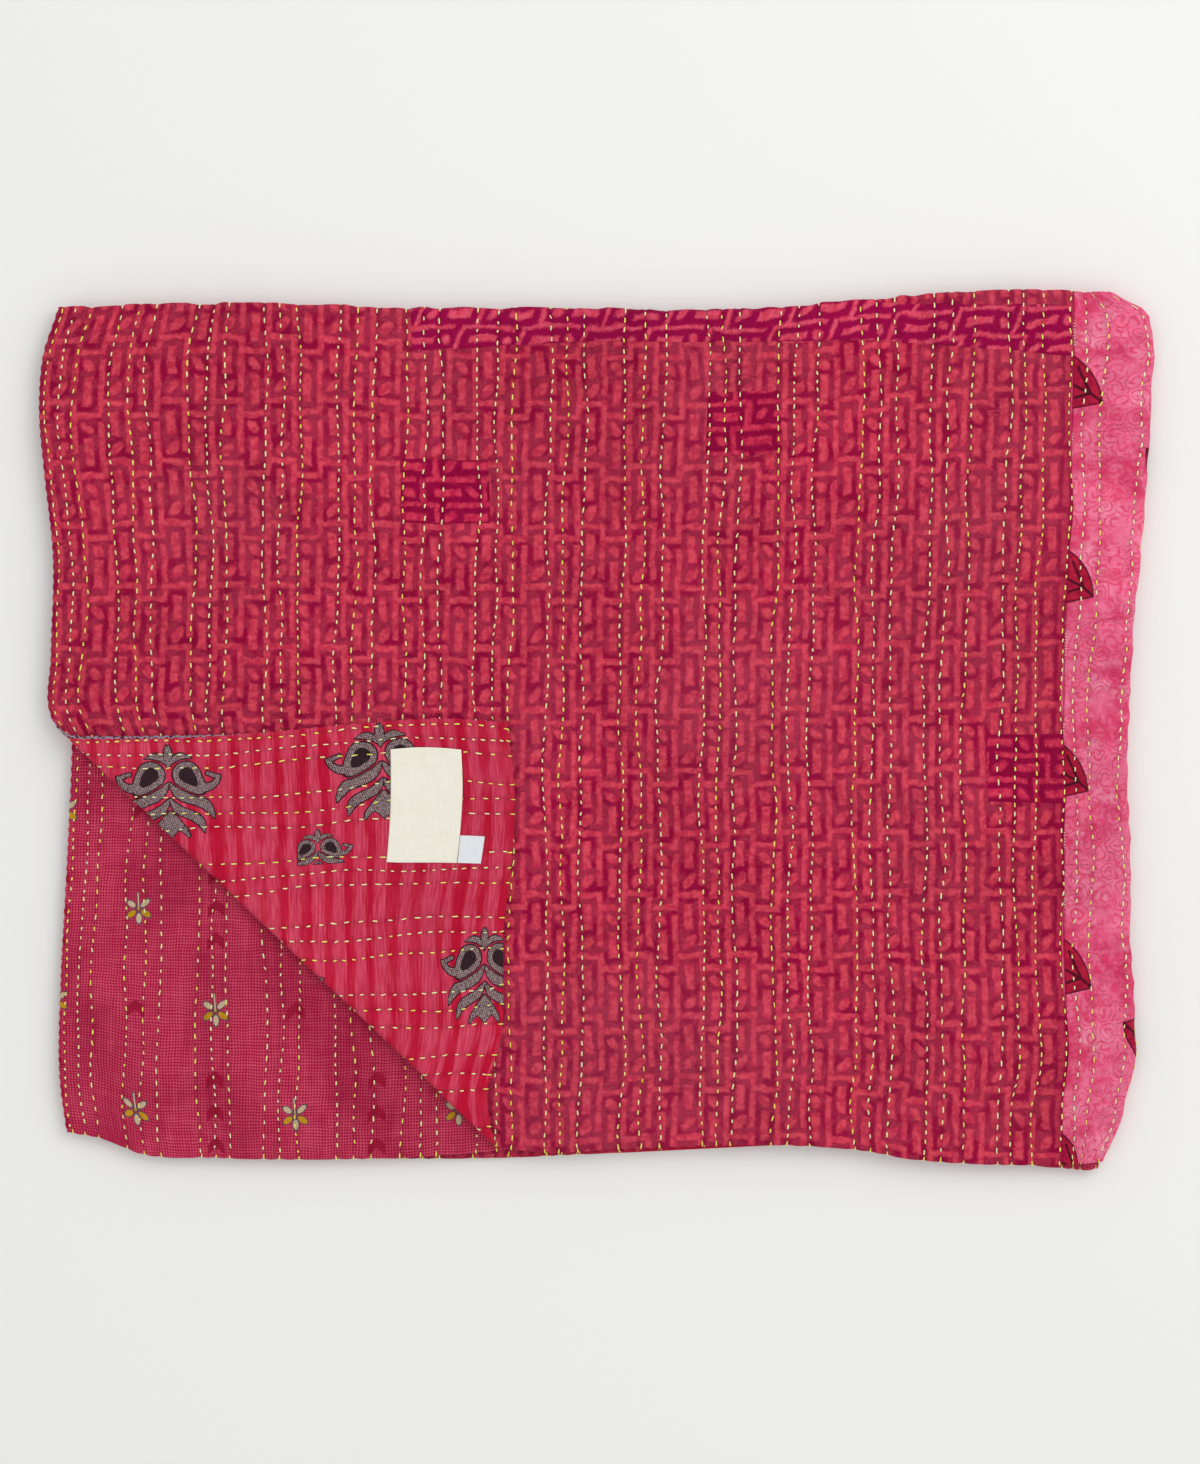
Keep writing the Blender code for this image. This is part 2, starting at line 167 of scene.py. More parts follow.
def drift(x, y, size, seed):
    """Smooth unevenness from -1 to 1 that changes over about the given size."""
    across = 97
    heights = np.random.default_rng(seed).uniform(-1, 1, (across, across))
    i, j = np.floor(x / size).astype(int), np.floor(y / size).astype(int)
    s, t = 1 - easing(x / size - i, 1), 1 - easing(y / size - j, 1)
    near, far, near_right, far_right = (
        heights[(i + right) % across, (j + up) % across] for right in (0, 1) for up in (0, 1)
    )
    return (near * (1 - t) + far * t) * (1 - s) + (near_right * (1 - t) + far_right * t) * s


def wander(u, v):
    """How far a row strays sideways from its straight line, which is nothing at the two hems beside it."""
    sway = np.sin(CIRCLE * (v / 0.173 + u / 0.093))
    sway = sway + 0.5 * np.sin(CIRCLE * (v / 0.083 - u / 0.131) + 1.7)
    sway = sway + 0.2 * np.sin(CIRCLE * (v / 0.047 + u / 0.037) + 0.6)
    return WANDER * sway * (1 - easing(u, 0.030)) * (1 - easing(SHEET_WIDTH - u, 0.030))


def row_pitch(row):
    """Each row's own stitch length, from its place in the cloth."""
    return STITCH_PITCH * (1 + 0.14 * np.sin(row * 997.0))


def stitch_count(row, v):
    """How many stitches a row has taken by a distance from the near hem. Stitches fall unevenly."""
    return v / row_pitch(row) + np.sin(row * 613.0) + 0.16 * np.sin(v / 0.013 + row * 401.0)


def spread_flat(across, along):
    """Where the sheet's lines cross when it lies open, with its uneven hems drawn in by the sewing."""
    u = across + wander(across, along)
    nearest = ROWS[np.abs(across[..., None] - ROWS).argmin(-1)]
    row_end = HEM_DRAWN * np.exp(-(((across - nearest) / HEM_DRAWN_WIDTH) ** 2))
    scallop = HEM_SCALLOP * np.cos(CIRCLE * stitch_count(ROWS[0], along))
    x = u - easing(u, HEM_REACH) * curve_through(LEFT_HEM, along) + scallop * easing(u, HEM_DRAWN_REACH)
    x = x + easing(SHEET_WIDTH - u, HEM_REACH) * curve_through(RIGHT_HEM, along)
    y = along - easing(along, HEM_REACH) * curve_through(NEAR_HEM, across)
    y = y + row_end * easing(along, HEM_DRAWN_REACH)
    y = y + easing(SHEET_LENGTH - along, HEM_REACH) * curve_through(UNDER_HEM, across)
    y = y - row_end * easing(SHEET_LENGTH - along, HEM_DRAWN_REACH)
    return LEFT + x, NEAR + y


def crease_frame():
    """A point where the bend of the crease starts, and the level direction towards the corner."""
    (x0, y0), (x1, y1) = CREASE_LEFT, CREASE_NEAR
    run = math.hypot(x1 - x0, y1 - y0)
    towards = np.array([(y1 - y0) / run, (x0 - x1) / run])
    return np.array(CREASE_LEFT) - (CREASE_RADIUS + LAYER / 2) * towards, towards


CREASE_START, TO_CORNER = crease_frame()


def past_crease(x, y):
    """How far a place on the open sheet lies past the line where the crease's bend starts."""
    return (x - CREASE_START[0]) * TO_CORNER[0] + (y - CREASE_START[1]) * TO_CORNER[1]


def turn_corner(x, y, z):
    """Rolls the cloth past the crease up and over, and lets it down on the top layer."""
    past = past_crease(x, y)
    angle = np.clip(past, 0, CREASE_BEND) / CREASE_RADIUS
    beyond = np.maximum(past - CREASE_BEND, 0)
    reach = (CREASE_RADIUS - z) * np.sin(angle) - beyond
    height = CREASE_RADIUS - (CREASE_RADIUS - z) * np.cos(angle)
    spare = 2 * CREASE_RADIUS - LAYER - FLAP_GAP
    height = height - spare * (1 - easing(beyond, FLAP_SETTLES))
    shift = np.where(past > 0, reach - past, 0)
    return x + shift * TO_CORNER[0], y + shift * TO_CORNER[1], np.where(past > 0, height, z)


def fold_under(run, z, at, radius):
    """Folds what lies past a line down and back under. It gives the new run and height."""
    angle = np.clip((run - at) / radius, 0, math.pi)
    back = np.maximum(run - at - math.pi * radius, 0)
    folded = at + (radius + z) * np.sin(angle) - back
    return np.where(run > at, folded, run), (radius + z) * np.cos(angle) - radius


def settle(x, y, z):
    """Bows the two folds as the stack lies, and adds its swells and rumples, which fade to nothing below."""
    far_edge = NEAR + HALF_LENGTH + FAR_RADIUS + LAYER / 2
    right_edge = LEFT + HALF_WIDTH + RIGHT_RADIUS + LAYER / 2
    y = y + ((y - NEAR) / (far_edge - NEAR)).clip(0) ** 2 * curve_through(FAR_FOLD, x)
    whole = BAND_EASE * ((x - LEFT) / (right_edge - BAND_WIDTH - LEFT)).clip(0, 1)
    beside = easing(right_edge - x, BAND_WIDTH)
    level = curve_through(RIGHT_FOLD, np.clip(y, *LEVEL_PART))
    x = x + whole * (1 - beside) * level + (1 - BAND_EASE + whole) * beside * curve_through(RIGHT_FOLD, y)
    y = y + EDGE_RIPPLE * easing(far_edge - y, RIPPLE_REACH) * drift(x, 0 * x, RIPPLE_SIZE, 11)
    x = x + EDGE_RIPPLE * easing(right_edge - x, RIPPLE_REACH) * drift(y, 0 * y, RIPPLE_SIZE, 12)
    z = z + STACK - LAYER / 2
    relief = RUMPLE * (drift(x, y, RUMPLE_SIZE, 5) + 0.5 * drift(x, y, RUMPLE_SIZE / 2, 6))
    for at_x, at_y, half_length, half_width, turn, height in SWELLS:
        c, s = math.cos(math.radians(turn)), math.sin(math.radians(turn))
        long_way = (x - at_x) * c + (y - at_y) * s
        short_way = (y - at_y) * c - (x - at_x) * s
        relief = relief + height * np.exp(-((long_way / half_length) ** 2 + (short_way / half_width) ** 2))
    return x, y, z * (1 + relief / STACK)


def fold_up(x, y, z):
    """Folds points of the open sheet to where they lie in the folded quilt."""
    x, y, z = turn_corner(x, y, z)
    y, z = fold_under(y, z, NEAR + HALF_LENGTH, FAR_RADIUS)
    x, z = fold_under(x, z, LEFT + HALF_WIDTH, RIGHT_RADIUS)
    x, y, z = settle(x, y, z)
    return np.stack([x - MIDDLE[0], y - MIDDLE[1], z], axis=-1)


ROW_DIP = 0.00060  # how deep a row lies below the cloth beside it
ROW_DIP_WIDTH = 0.0015
GROUP_DIP = 0.00025  # how much lower the cloth stays inside a group of rows
GROUP_REACH = 0.008
PUFF = 0.00035  # how unevenly the cloth stands up between rows
PUFF_WIDTH = 0.0035
SEAM = 0.6474  # the printed panel's edge, which lies on the band
SEAM_STEP = 0.00035
SEAM_REACH = 0.010
HEM_TURN = 0.0035
HEM_EDGE = 0.34


def half_thickness(u, v):
    """Half the sheet's thickness: rounded off at the hems, drawn in at each row, and uneven between rows."""
    away = np.abs(u[..., None] - ROWS).min(-1)
    dip = ROW_DIP * np.exp(-((away / ROW_DIP_WIDTH) ** 2))
    for first, _, third in TOP_GROUPS + UNDER_GROUPS:
        dip = dip + GROUP_DIP * easing(np.abs(u - (first + third) / 2), (third - first) / 2 + GROUP_REACH)
    between = 1 - np.exp(-((away / PUFF_WIDTH) ** 2))
    dip = dip + PUFF * between * (0.5 + 0.5 * drift(u + 0.5 * v, v, 0.011, 3) * drift(u, v, 0.034, 4))
    past_seam = u - SEAM
    dip = dip + np.where(past_seam > 0.0001, SEAM_STEP * easing(past_seam, SEAM_REACH), 0)
    inside = np.minimum.reduce([u, SHEET_WIDTH - u, v, SHEET_LENGTH - v]).clip(0, HEM_TURN) / HEM_TURN
    roundness = HEM_EDGE + (1 - HEM_EDGE) * np.sqrt(1 - (1 - inside) ** 2)
    return roundness * (LAYER / 2 - dip)


def filled(lines, widest):
    """Adds even lines wherever two stand further apart than the widest step."""
    out = [lines[0]]
    for start, end in zip(lines, lines[1:]):
        count = max(1, math.ceil((end - start) / widest - 1e-6))
        out.extend(start + (end - start) * part / count for part in range(1, count + 1))
    return out


HEM_LINES = [0, 0.0004, 0.0010, 0.0020, HEM_TURN]
BESIDE_ROW = (-0.0024, -0.0011, 0, 0.0011, 0.0024)
CROWDED = 0.00028  # lines nearer to each other than this are one line
FINE = 0.0032  # the widest step across the rows that show
HIDDEN = 0.0065
ALONG = 0.00167  # the step along the rows. A cell takes several where the cloth is plain or hidden
TOP_RIGHT = (0.684, 0.685)  # the last two lines before the right fold's bend, and the first two after it
UNDER_LEFT = (0.7045, 0.706)
TOP_ROWS_END = 0.72
FAR_BEND_START = 0.5382
FAR_BEND_END = 0.5455
FLAP_REACH = (0.296, 0.276)
CORNER_REACH = 0.800


def lines_across_width():
    """Distances from the left hem of the lines that the mesh follows: beside each row, and between."""
    beside = [row + side for row in ROWS[ROWS < TOP_ROWS_END] for side in BESIDE_ROW]
    beside = [line for line in beside if HEM_TURN < line < TOP_RIGHT[0] and abs(line - SEAM) > 0.0005]
    top = []
    for line in sorted([HEM_TURN, *beside, FLAP_REACH[0], SEAM, SEAM + 0.0003]):
        if not top or line - top[-1] > CROWDED:
            top.append(line)
    bend = np.linspace(HALF_WIDTH, HALF_WIDTH + math.pi * RIGHT_RADIUS, 15)
    under = [row for row in ROWS if TOP_ROWS_END < row < SHEET_WIDTH - HEM_TURN - 0.0015]
    top, under = filled([*top, TOP_RIGHT[0]], FINE), filled([UNDER_LEFT[1], *under], HIDDEN)
    hems = [*HEM_LINES, *(SHEET_WIDTH - line for line in HEM_LINES)]
    return np.array(sorted({*hems, *top, *TOP_RIGHT, *bend, *UNDER_LEFT, *under}))


def lines_across_length():
    """Distances from the near hem of the lines that cross the rows."""
    bend = np.linspace(HALF_LENGTH, HALF_LENGTH + math.pi * FAR_RADIUS, 11)
    near = filled([HEM_TURN, FAR_BEND_START], ALONG)
    far = filled([FAR_BEND_END, SHEET_LENGTH - HEM_TURN], ALONG)
    far_hem = [SHEET_LENGTH - line for line in HEM_LINES[-2::-1]]
    return np.array([*HEM_LINES[:-1], *near, *bend, *far, *far_hem])


across_lines, along_lines = lines_across_width(), lines_across_length()
ACROSS_BANDS = [0, HEM_TURN, FLAP_REACH[0], TOP_RIGHT[0], UNDER_LEFT[1], SHEET_WIDTH - HEM_TURN, SHEET_WIDTH]
ALONG_BANDS = [0, HEM_TURN, FLAP_REACH[1], FAR_BEND_START, FAR_BEND_END, CORNER_REACH]
ALONG_BANDS += [SHEET_LENGTH - HEM_TURN, SHEET_LENGTH]
FRONT, BACK = 0, 1


def cell_size(face, band, stretch):
    """How many fine steps a cell takes each way: few where the cloth shows, more where it lies hidden."""
    shows = stretch in (1, 2) and band in (1, 2, 3, 4) if face == FRONT else band == 1 and stretch in (1, 5)
    columns = 1 if shows or band in (0, 3, 5) or (face == FRONT and stretch in (0, 3)) else 7
    rows = 1 if band == 0 or stretch in (0, 3, 6) else 3 if shows and band < 4 else 6 if shows else 9
    return (1 if stretch in (0, 6) and band < 4 else columns), rows


def stops(lines, start, end, step):
    """The numbers of the lines that bound cells between two distances."""
    first, last = (int(np.abs(lines - edge).argmin()) for edge in (start, end))
    return [*range(first, last, step), last]


def blocks():
    """Each block of cells: its face, and the lines that bound its cells both ways."""
    for face in (FRONT, BACK):
        for band, sides in enumerate(zip(ACROSS_BANDS, ACROSS_BANDS[1:])):
            for stretch, ends in enumerate(zip(ALONG_BANDS, ALONG_BANDS[1:])):
                columns, rows = cell_size(face, band, stretch)
                yield face, stops(across_lines, *sides, columns), stops(along_lines, *ends, rows)


def sheet_faces(used, numbers):
    """The cells of both faces and the narrow walls that close the hems, as rings of point numbers."""
    rings = []
    for face, columns, rows in blocks():
        for i0, i1 in zip(columns, columns[1:]):
            for j0, j1 in zip(rows, rows[1:]):
                ring = [(i, j0) for i in range(i0, i1)] + [(i1, j) for j in range(j0, j1)]
                ring += [(i, j1) for i in range(i1, i0, -1)] + [(i0, j) for j in range(j1, j0, -1)]
                ring = [numbers[face, i, j] for i, j in ring if used[face, i, j]]
                rings.append(ring if face == FRONT else ring[::-1])
    wide, long = len(across_lines), len(along_lines)
    rim = [(i, 0) for i in range(wide - 1)] + [(wide - 1, j) for j in range(long - 1)]
    rim += [(i, long - 1) for i in range(wide - 1, 0, -1)] + [(0, j) for j in range(long - 1, 0, -1)]
    both = [n for n, (i, j) in enumerate(rim) if used[:, i, j].all()]
    for start, end in zip(both, both[1:] + [both[0] + len(rim)]):
        run = [rim[n % len(rim)] for n in range(start, end + 1)]
        over, under = ([numbers[face, i, j] for i, j in run if used[face, i, j]] for face in (FRONT, BACK))
        rings.append(under + over[::-1])
    return rings


def write_map(mesh, name, x, y, by_corner=False):
    """Keeps two numbers of every point, or of every face's corners, in a UV map."""
    pairs = np.stack([np.ravel(x), np.ravel(y)], axis=1).astype(np.float32)
    if not by_corner:
        corners = np.empty(len(mesh.loops), int)
        mesh.loops.foreach_get("vertex_index", corners)
        pairs = pairs[corners]
    mesh.uv_layers.new(name=name).data.foreach_set("uv", pairs.ravel())


ROW_REACH = 0.0042  # how far beside a row its stitches pucker the cloth


def write_cloth_maps(mesh, u, v):
    """Keeps where each point lies on the sheet, and how its row is stitched there, for the materials."""
    away = np.abs(u[..., None] - ROWS)
    write_map(mesh, "Sheet", u + wander(u, v), v)
    write_map(mesh, "Stitching", easing(away.min(-1), ROW_REACH), stitch_count(ROWS[away.argmin(-1)], v))


# Where the sheet's parts lie on the map that a bake paints. What shows has the most room, and what is folded
# in or lies underneath the least. Each plot: its face, its part of the sheet from left to right and from near
# to far, and its place and size on the map. The four hems are narrow strips above.
BAKE_MAP = "OFBake"
PLOTS = [
    (BACK, (0, SHEET_WIDTH), (0, SHEET_LENGTH), (0.812, 0.006), (0.182, 0.614)),
    (FRONT, (0, SHEET_WIDTH), (FAR_BEND_END, SHEET_LENGTH), (0.712, 0.840), (0.280, 0.100)),
    (FRONT, (UNDER_LEFT[1], SHEET_WIDTH), (0, FAR_BEND_END), (0.712, 0.633), (0.280, 0.196)),
    (BACK, (0, FLAP_REACH[0]), (0, FLAP_REACH[1]), (0.006, 0.633), (0.333, 0.311)),
    (BACK, (0, FLAP_REACH[0]), (CORNER_REACH, SHEET_LENGTH), (0.356, 0.633), (0.333, 0.319)),
    (FRONT, (0, UNDER_LEFT[1]), (0, FAR_BEND_END), (0.006, 0.006), (0.794, 0.614)),
]
HEM_PLOT = 0.958  # the first hem's strip, how far on the next one lies, and how high each is
HEM_PLOT_STEP = 0.0105
HEM_PLOT_HIGH = 0.006
HEM_PLOT_SIDE = 0.004


def bake_places(u, v, face, middle_u, middle_v, side, wall):
    """Where each corner of a cell lies on that map, in the plot that its cell's middle belongs to."""
    x, y = np.zeros(len(u)), np.zeros(len(u))
    for plot_face, (left, right), (near, far), (plot_x, plot_y), (wide, high) in PLOTS:
        inside = (side == plot_face) & (middle_u > left) & (middle_u < right)
        inside = inside & (middle_v > near) & (middle_v < far)
        x = np.where(inside, plot_x + wide * (u - left) / (right - left), x)
        y = np.where(inside, plot_y + high * (v - near) / (far - near), y)
    nearest = np.argmin([middle_v, SHEET_LENGTH - middle_v, middle_u, SHEET_WIDTH - middle_u], axis=0)
    run = np.where(nearest < 2, u / SHEET_WIDTH, v / SHEET_LENGTH)
    x = np.where(wall, HEM_PLOT_SIDE + (1 - 2 * HEM_PLOT_SIDE) * run, x)
    return x, np.where(wall, HEM_PLOT + HEM_PLOT_STEP * nearest + HEM_PLOT_HIGH * face, y)


PRINT, BAND, STRIPES, CHECK = range(4)
BAND_END = 0.7646
CHECK_START = 0.60
CREASE_CUTS = 10


def cloth_at(u, v, side, wall):
    """Which cloth covers a cell: the printed panels and the band in front, stripes and check behind."""
    front = np.where((u > SEAM) & (u < BAND_END), BAND, PRINT)
    cloth = np.where(wall | (side == FRONT), front, np.where(v < CHECK_START, STRIPES, CHECK))
    return np.where(wall & (u < HEM_LINES[2]) & (v < FLAP_REACH[1]), STRIPES, cloth)


def make_sheet():
    """Makes the sheet flat, with its two faces and its hems, cuts it where the crease bends and folds it."""
    used = np.zeros((2, len(across_lines), len(along_lines)), bool)
    for face, columns, rows in blocks():
        used[face][np.ix_(columns, rows)] = True
    numbers = np.full(used.shape, -1)
    numbers[used] = np.arange(used.sum())
    face, i, j = np.nonzero(used)
    u, v = across_lines[i], along_lines[j]
    x, y = spread_flat(u, v)
    height = half_thickness(u, v) * np.where(face == FRONT, 1, -1)
    rings = sheet_faces(used, numbers)
    mesh = bpy.data.meshes.new("quilted_sheet")
    mesh.from_pydata(np.stack([x, y, height], axis=1), [], rings)
    write_cloth_maps(mesh, u, v)
    count = np.array([len(ring) for ring in rings])
    firsts = count.cumsum() - count
    corners = np.concatenate(rings)
    middle_u, middle_v = (np.add.reduceat(line[corners], firsts) / count for line in (u, v))
    side = np.maximum.reduceat(face[corners], firsts)
    wall = side != np.minimum.reduceat(face[corners], firsts)
    cells = (np.repeat(value, count) for value in (middle_u, middle_v, side, wall))
    write_map(mesh, BAKE_MAP, *bake_places(u[corners], v[corners], face[corners], *cells), by_corner=True)
    mesh.polygons.foreach_set("material_index", cloth_at(middle_u, middle_v, side, wall))
    flat = bmesh.new()
    flat.from_mesh(mesh)
    for cut in range(CREASE_CUTS + 1):
        bmesh.ops.bisect_plane(
            flat,
            geom=[*flat.verts, *flat.edges, *flat.faces],
            plane_co=(*(CREASE_START + CREASE_BEND * cut / CREASE_CUTS * TO_CORNER), 0),
            plane_no=(*TO_CORNER, 0),
        )
    flat.to_mesh(mesh)
    flat.free()
    places = np.empty(3 * len(mesh.vertices))
    mesh.vertices.foreach_get("co", places)
    mesh.vertices.foreach_set("co", fold_up(*places.reshape(-1, 3).T).astype(np.float32).ravel())
    mesh.shade_smooth()
    mesh.set_sharp_from_angle(angle=math.radians(50))
    return mesh


def add_object(name, data):
    """Puts a mesh, a light or a camera in the scene."""
    added = bpy.data.objects.new(name, data)
    bpy.context.scene.collection.objects.link(added)
    return added


sheet = add_object("quilted_sheet", make_sheet())

# The cloths' finish. Each is a plain cotton weave, printed or dyed, washed soft and a little faded. The rows
# of stitches pucker it, and washing has left small creases between them. Their colour carries painted shade
# in the puckers, the creases and the weave.


class Field:
    """A value that changes over a cloth, held as a shader socket, so that formulas read as formulas."""

    def __init__(self, socket):
        self.socket = socket

    def __add__(self, other):
        return step("ADD", self, other)

    def __sub__(self, other):
        return step("SUBTRACT", self, other)

    def __rsub__(self, other):
        return step("SUBTRACT", other, self)

    def __mul__(self, other):
        return step("MULTIPLY", self, other)

    def __truediv__(self, other):
        return step("DIVIDE", self, other)

    __radd__ = __add__
    __rmul__ = __mul__


def add_node(kind, values, output=0, **settings):
    """Adds a shader node beside the fields that feed it, and gives one of its outputs."""
    tree = next(value for value in values.values() if isinstance(value, Field)).socket.id_data
    node = tree.nodes.new("ShaderNode" + kind)
    for name, setting in settings.items():
        setattr(node, name, setting)
    for name, value in values.items():
        if isinstance(value, Field):
            tree.links.new(value.socket, node.inputs[name])
        else:
            node.inputs[name].default_value = value
    return Field(node.outputs[output])


def step(kind, *values):
    """One step of arithmetic."""
    return add_node("Math", dict(enumerate(values)), operation=kind)


def rise(value, low, high):
    """0 at the low value and 1 at the high one, smooth between and level beyond, whichever is the larger."""
    ends = {"From Min": min(low, high), "From Max": max(low, high)}
    if low > high:
        ends.update({"To Min": 1, "To Max": 0})
    return add_node("MapRange", {"Value": value, **ends}, "Result", interpolation_type="SMOOTHSTEP")


def absolute(value):
    return step("ABSOLUTE", value)


def wave(value, pitch):
    """Up and down between -1 and 1, once for every pitch."""
    return step("SINE", value * (CIRCLE / pitch))


def length_of(x, y):
    """How long a line is that goes this far each way."""
    return step("SQRT", x * x + y * y)


def least(first, *others):
    for other in others:
        first = step("MINIMUM", first, other)
    return first


def most(first, *others):
    for other in others:
        first = step("MAXIMUM", first, other)
    return first


def wrapped(value, period):
    """A distance brought within half a period of zero."""
    return step("WRAP", value, period / 2, -period / 2)


def place(x, y):
    """Joins two values into one place."""
    return add_node("CombineXYZ", {0: x, 1: y, 2: 0.0})


def parts_of(vector):
    """A place's x and y."""
    both = add_node("SeparateXYZ", {0: vector}).socket.node.outputs
    return Field(both[0]), Field(both[1])


def cloud(vector, scale, detail=2.0, roughness=0.5):
    """Uneven patches from about 0.25 to 0.75, this many to a metre."""
    return add_node("TexNoise", {"Vector": vector, "Scale": scale, "Detail": detail, "Roughness": roughness})


def stray(vector, scale, width, detail=2.0):
    """How far something strays to either side, over about the given width."""
    return (cloud(vector, scale, detail) - 0.5) * width


def blend(share, first, second):
    """A colour between two others."""
    return add_node("Mix", {0: share, 6: first, 7: second}, 2, data_type="RGBA")


def shade(colour, factor):
    """A colour made darker or lighter by a factor."""
    vector = colour if isinstance(colour, Field) else colour[:3]
    return add_node("VectorMath", {"Vector": vector, "Scale": factor}, operation="SCALE")


ANYWHERE = (0.0, 0.0, 0.0)  # a group's socket that starts from this takes a place


def shader_group(name, **takes):
    """Turns a formula into a shader node group. A space in the name of a socket is an underscore here."""

    def build(formula):
        group = bpy.data.node_groups.new(name, "ShaderNodeTree")
        for label, value in takes.items():
            kind = "NodeSocketVector" if value is ANYWHERE else "NodeSocketFloat"
            socket = group.interface.new_socket(label.replace("_", " "), in_out="INPUT", socket_type=kind)
            socket.default_value = value
        inlet = group.nodes.new("NodeGroupInput")
        gives = formula(*(Field(socket) for socket in inlet.outputs[: len(takes)]))
        for label in gives:
            group.interface.new_socket(label, in_out="OUTPUT", socket_type="NodeSocketFloat")
        outlet = group.nodes.new("NodeGroupOutput")
        for label, value in gives.items():
            group.links.new(value.socket, outlet.inputs[label])
        return group

    return build


def use_group(group, **values):
    """Places a group beside what feeds it, and returns its outputs by name."""
    values = {label.replace("_", " "): value for label, value in values.items()}
    outputs = add_node("Group", values, node_tree=group).socket.node.outputs
    return {socket.name: Field(socket) for socket in outputs}


@shader_group("cotton weave", Place=ANYWHERE, Pitch=0.00085)
def weave_group(at, pitch):
    """Plain weave: crossing threads, some thicker or darker than others, which show as fine streaks. Its
    Thread tone is partly their own colour and partly painted shade, lighter where they stand up.
    """
    x, y = parts_of(at)
    sway = cloud(at, 90.0) * 0.0012
    x, y = x + sway, y + sway
    across, along = cloud(place(x * 0.10, y), 1300.0, 1.0), cloud(place(x, y * 0.10), 1300.0, 1.0)
    slubs = cloud(place(x * 0.12, y), 480.0, 1.0) + cloud(place(x, y * 0.12), 480.0, 1.0)
    over = step("SINE", x * CIRCLE / pitch) * step("SINE", y * CIRCLE / pitch)
    # Painted shade: the streaks and crossings that raise the Height also lighten the Thread tone. The slubs
    # are the threads' own colour.
    threads = (across + along) * 0.32 + slubs * 0.24 - 0.06
    return {"Thread": threads + over * 0.10, "Height": over * 0.5 + across + along}


@shader_group("faded dye", Place=ANYWHERE)
def fade_group(at):
    """Where washing and sun have left the cloth lighter or deeper."""
    return {"Shade": cloud(at, 7.0, 3.0) * 0.42 + cloud(at, 60.0, 3.0, 0.6) * 0.26 + 0.66}


@shader_group("stitch puckers", Row=ANYWHERE)
def pucker_group(row):
    """What each stitch does to its row: it draws up small pleats, and pierces the cloth at both its ends. Its
    Shade is painted shade: darker down the row and in each pleat's hollow, and darkest in painted shadow at
    the holes.
    """
    drawn, count = parts_of(row)
    pleat = step("COSINE", count * CIRCLE)
    pinch = drawn * drawn
    hole_shadow = rise(absolute(absolute(wrapped(count, 1.0)) - 0.33), 0.10, 0.02) * rise(drawn, 0.80, 0.93)
    # Painted shade in the row's groove and the pleats' hollows, and painted shadow at the stitches' holes.
    return {"Height": pinch * pleat * -0.5, "Shade": 1.0 - pinch * (0.10 + 0.04 * pleat) - hole_shadow * 0.22}


@shader_group("washed creases", Place=ANYWHERE)
def crease_group(at):
    """Small creases that washing has left between the rows, most of them lying across the rows. Its Shade is
    painted shade, lighter on the puffs and darker in the creases.
    """
    x, y = parts_of(at)
    bent = cloud(at, 40.0) * 0.012
    level = cloud(place(x * 0.40, y + bent), 150.0)
    upright = cloud(place(x + bent, y * 0.45), 110.0)
    crease = most(rise(absolute(level - 0.5), 0.055, 0.0), rise(absolute(upright - 0.5), 0.035, 0.0) * 0.7)
    crease = crease * rise(cloud(at, 26.0), 0.38, 0.62)
    puff = level + upright
    # Painted shade: the Shade follows the relief, lighter on the puffs and darker down the creases.
    return {"Height": puff - crease * 0.25, "Shade": 0.80 + puff * 0.20 - crease * 0.10}


def start_material(name, sheen, *uv_maps):
    """A new material, its shader, and where each of its UV maps puts a point."""
    material = bpy.data.materials.new(name)
    material.use_nodes = True
    nodes = material.node_tree.nodes
    finish = nodes["Principled BSDF"]
    finish.inputs["Sheen Weight"].default_value = sheen
    maps = [nodes.new("ShaderNodeUVMap") for _ in uv_maps]
    for node, uv_map in zip(maps, uv_maps):
        node.uv_map = uv_map
    return material, finish, *(Field(node.outputs[0]) for node in maps)


def finish_material(finish, colour, roughness, height):
    """Joins a surface's colour, roughness and height to its shader."""
    bump = add_node("Bump", {"Height": height, "Distance": 1.0})
    for name, value in {"Base Color": colour, "Roughness": roughness, "Normal": bump}.items():
        finish.id_data.links.new(value.socket, finish.inputs[name])


WEAVE_HEIGHT = 0.00012
PUCKER_HEIGHT = 0.00050
CREASE_HEIGHT = 0.00160
COTTON_SHEEN = 0.03


def make_cotton(name, dye, depth, creased=1.0, **dyes):
    """A cotton material from its dye, which colours every place, darkened with painted shade from the weave,
    puckers and creases. The depth is how strongly threads show.
    """
    material, finish, at, row = start_material(name, COTTON_SHEEN, "Sheet", "Stitching")
    finish.inputs["Sheen Roughness"].default_value = 0.5
    finish.inputs["Specular IOR Level"].default_value = 0.07
    weave, crease = use_group(weave_group, Place=at), use_group(crease_group, Place=at)
    fade, pucker = use_group(fade_group, Place=at), use_group(pucker_group, Row=row)
    # light: the threads' tone and the fading, times painted shade from the weave, the stitch puckers and the
    # creases.
    light = ((weave["Thread"] - 0.5) * depth + 1.0) * fade["Shade"] * pucker["Shade"]
    light = light * ((crease["Shade"] - 1.0) * creased + 1.0)
    height = weave["Height"] * WEAVE_HEIGHT + pucker["Height"] * PUCKER_HEIGHT
    height = height + crease["Height"] * (CREASE_HEIGHT * creased)
    finish_material(finish, shade(dye(at, **dyes), light), 0.82 + weave["Thread"] * 0.14, height)
    return material


# The printed panel. A red fret of upright lines, bars and small leaves, printed on a wine ground whose fine
# dots show through. Columns come in two kinds, turn about.

COLUMN = 0.0164
REPEAT = 0.0395
PRINT_START = (0.0049, 0.0060)  # a left line of the first kind of column, and the top of its bar
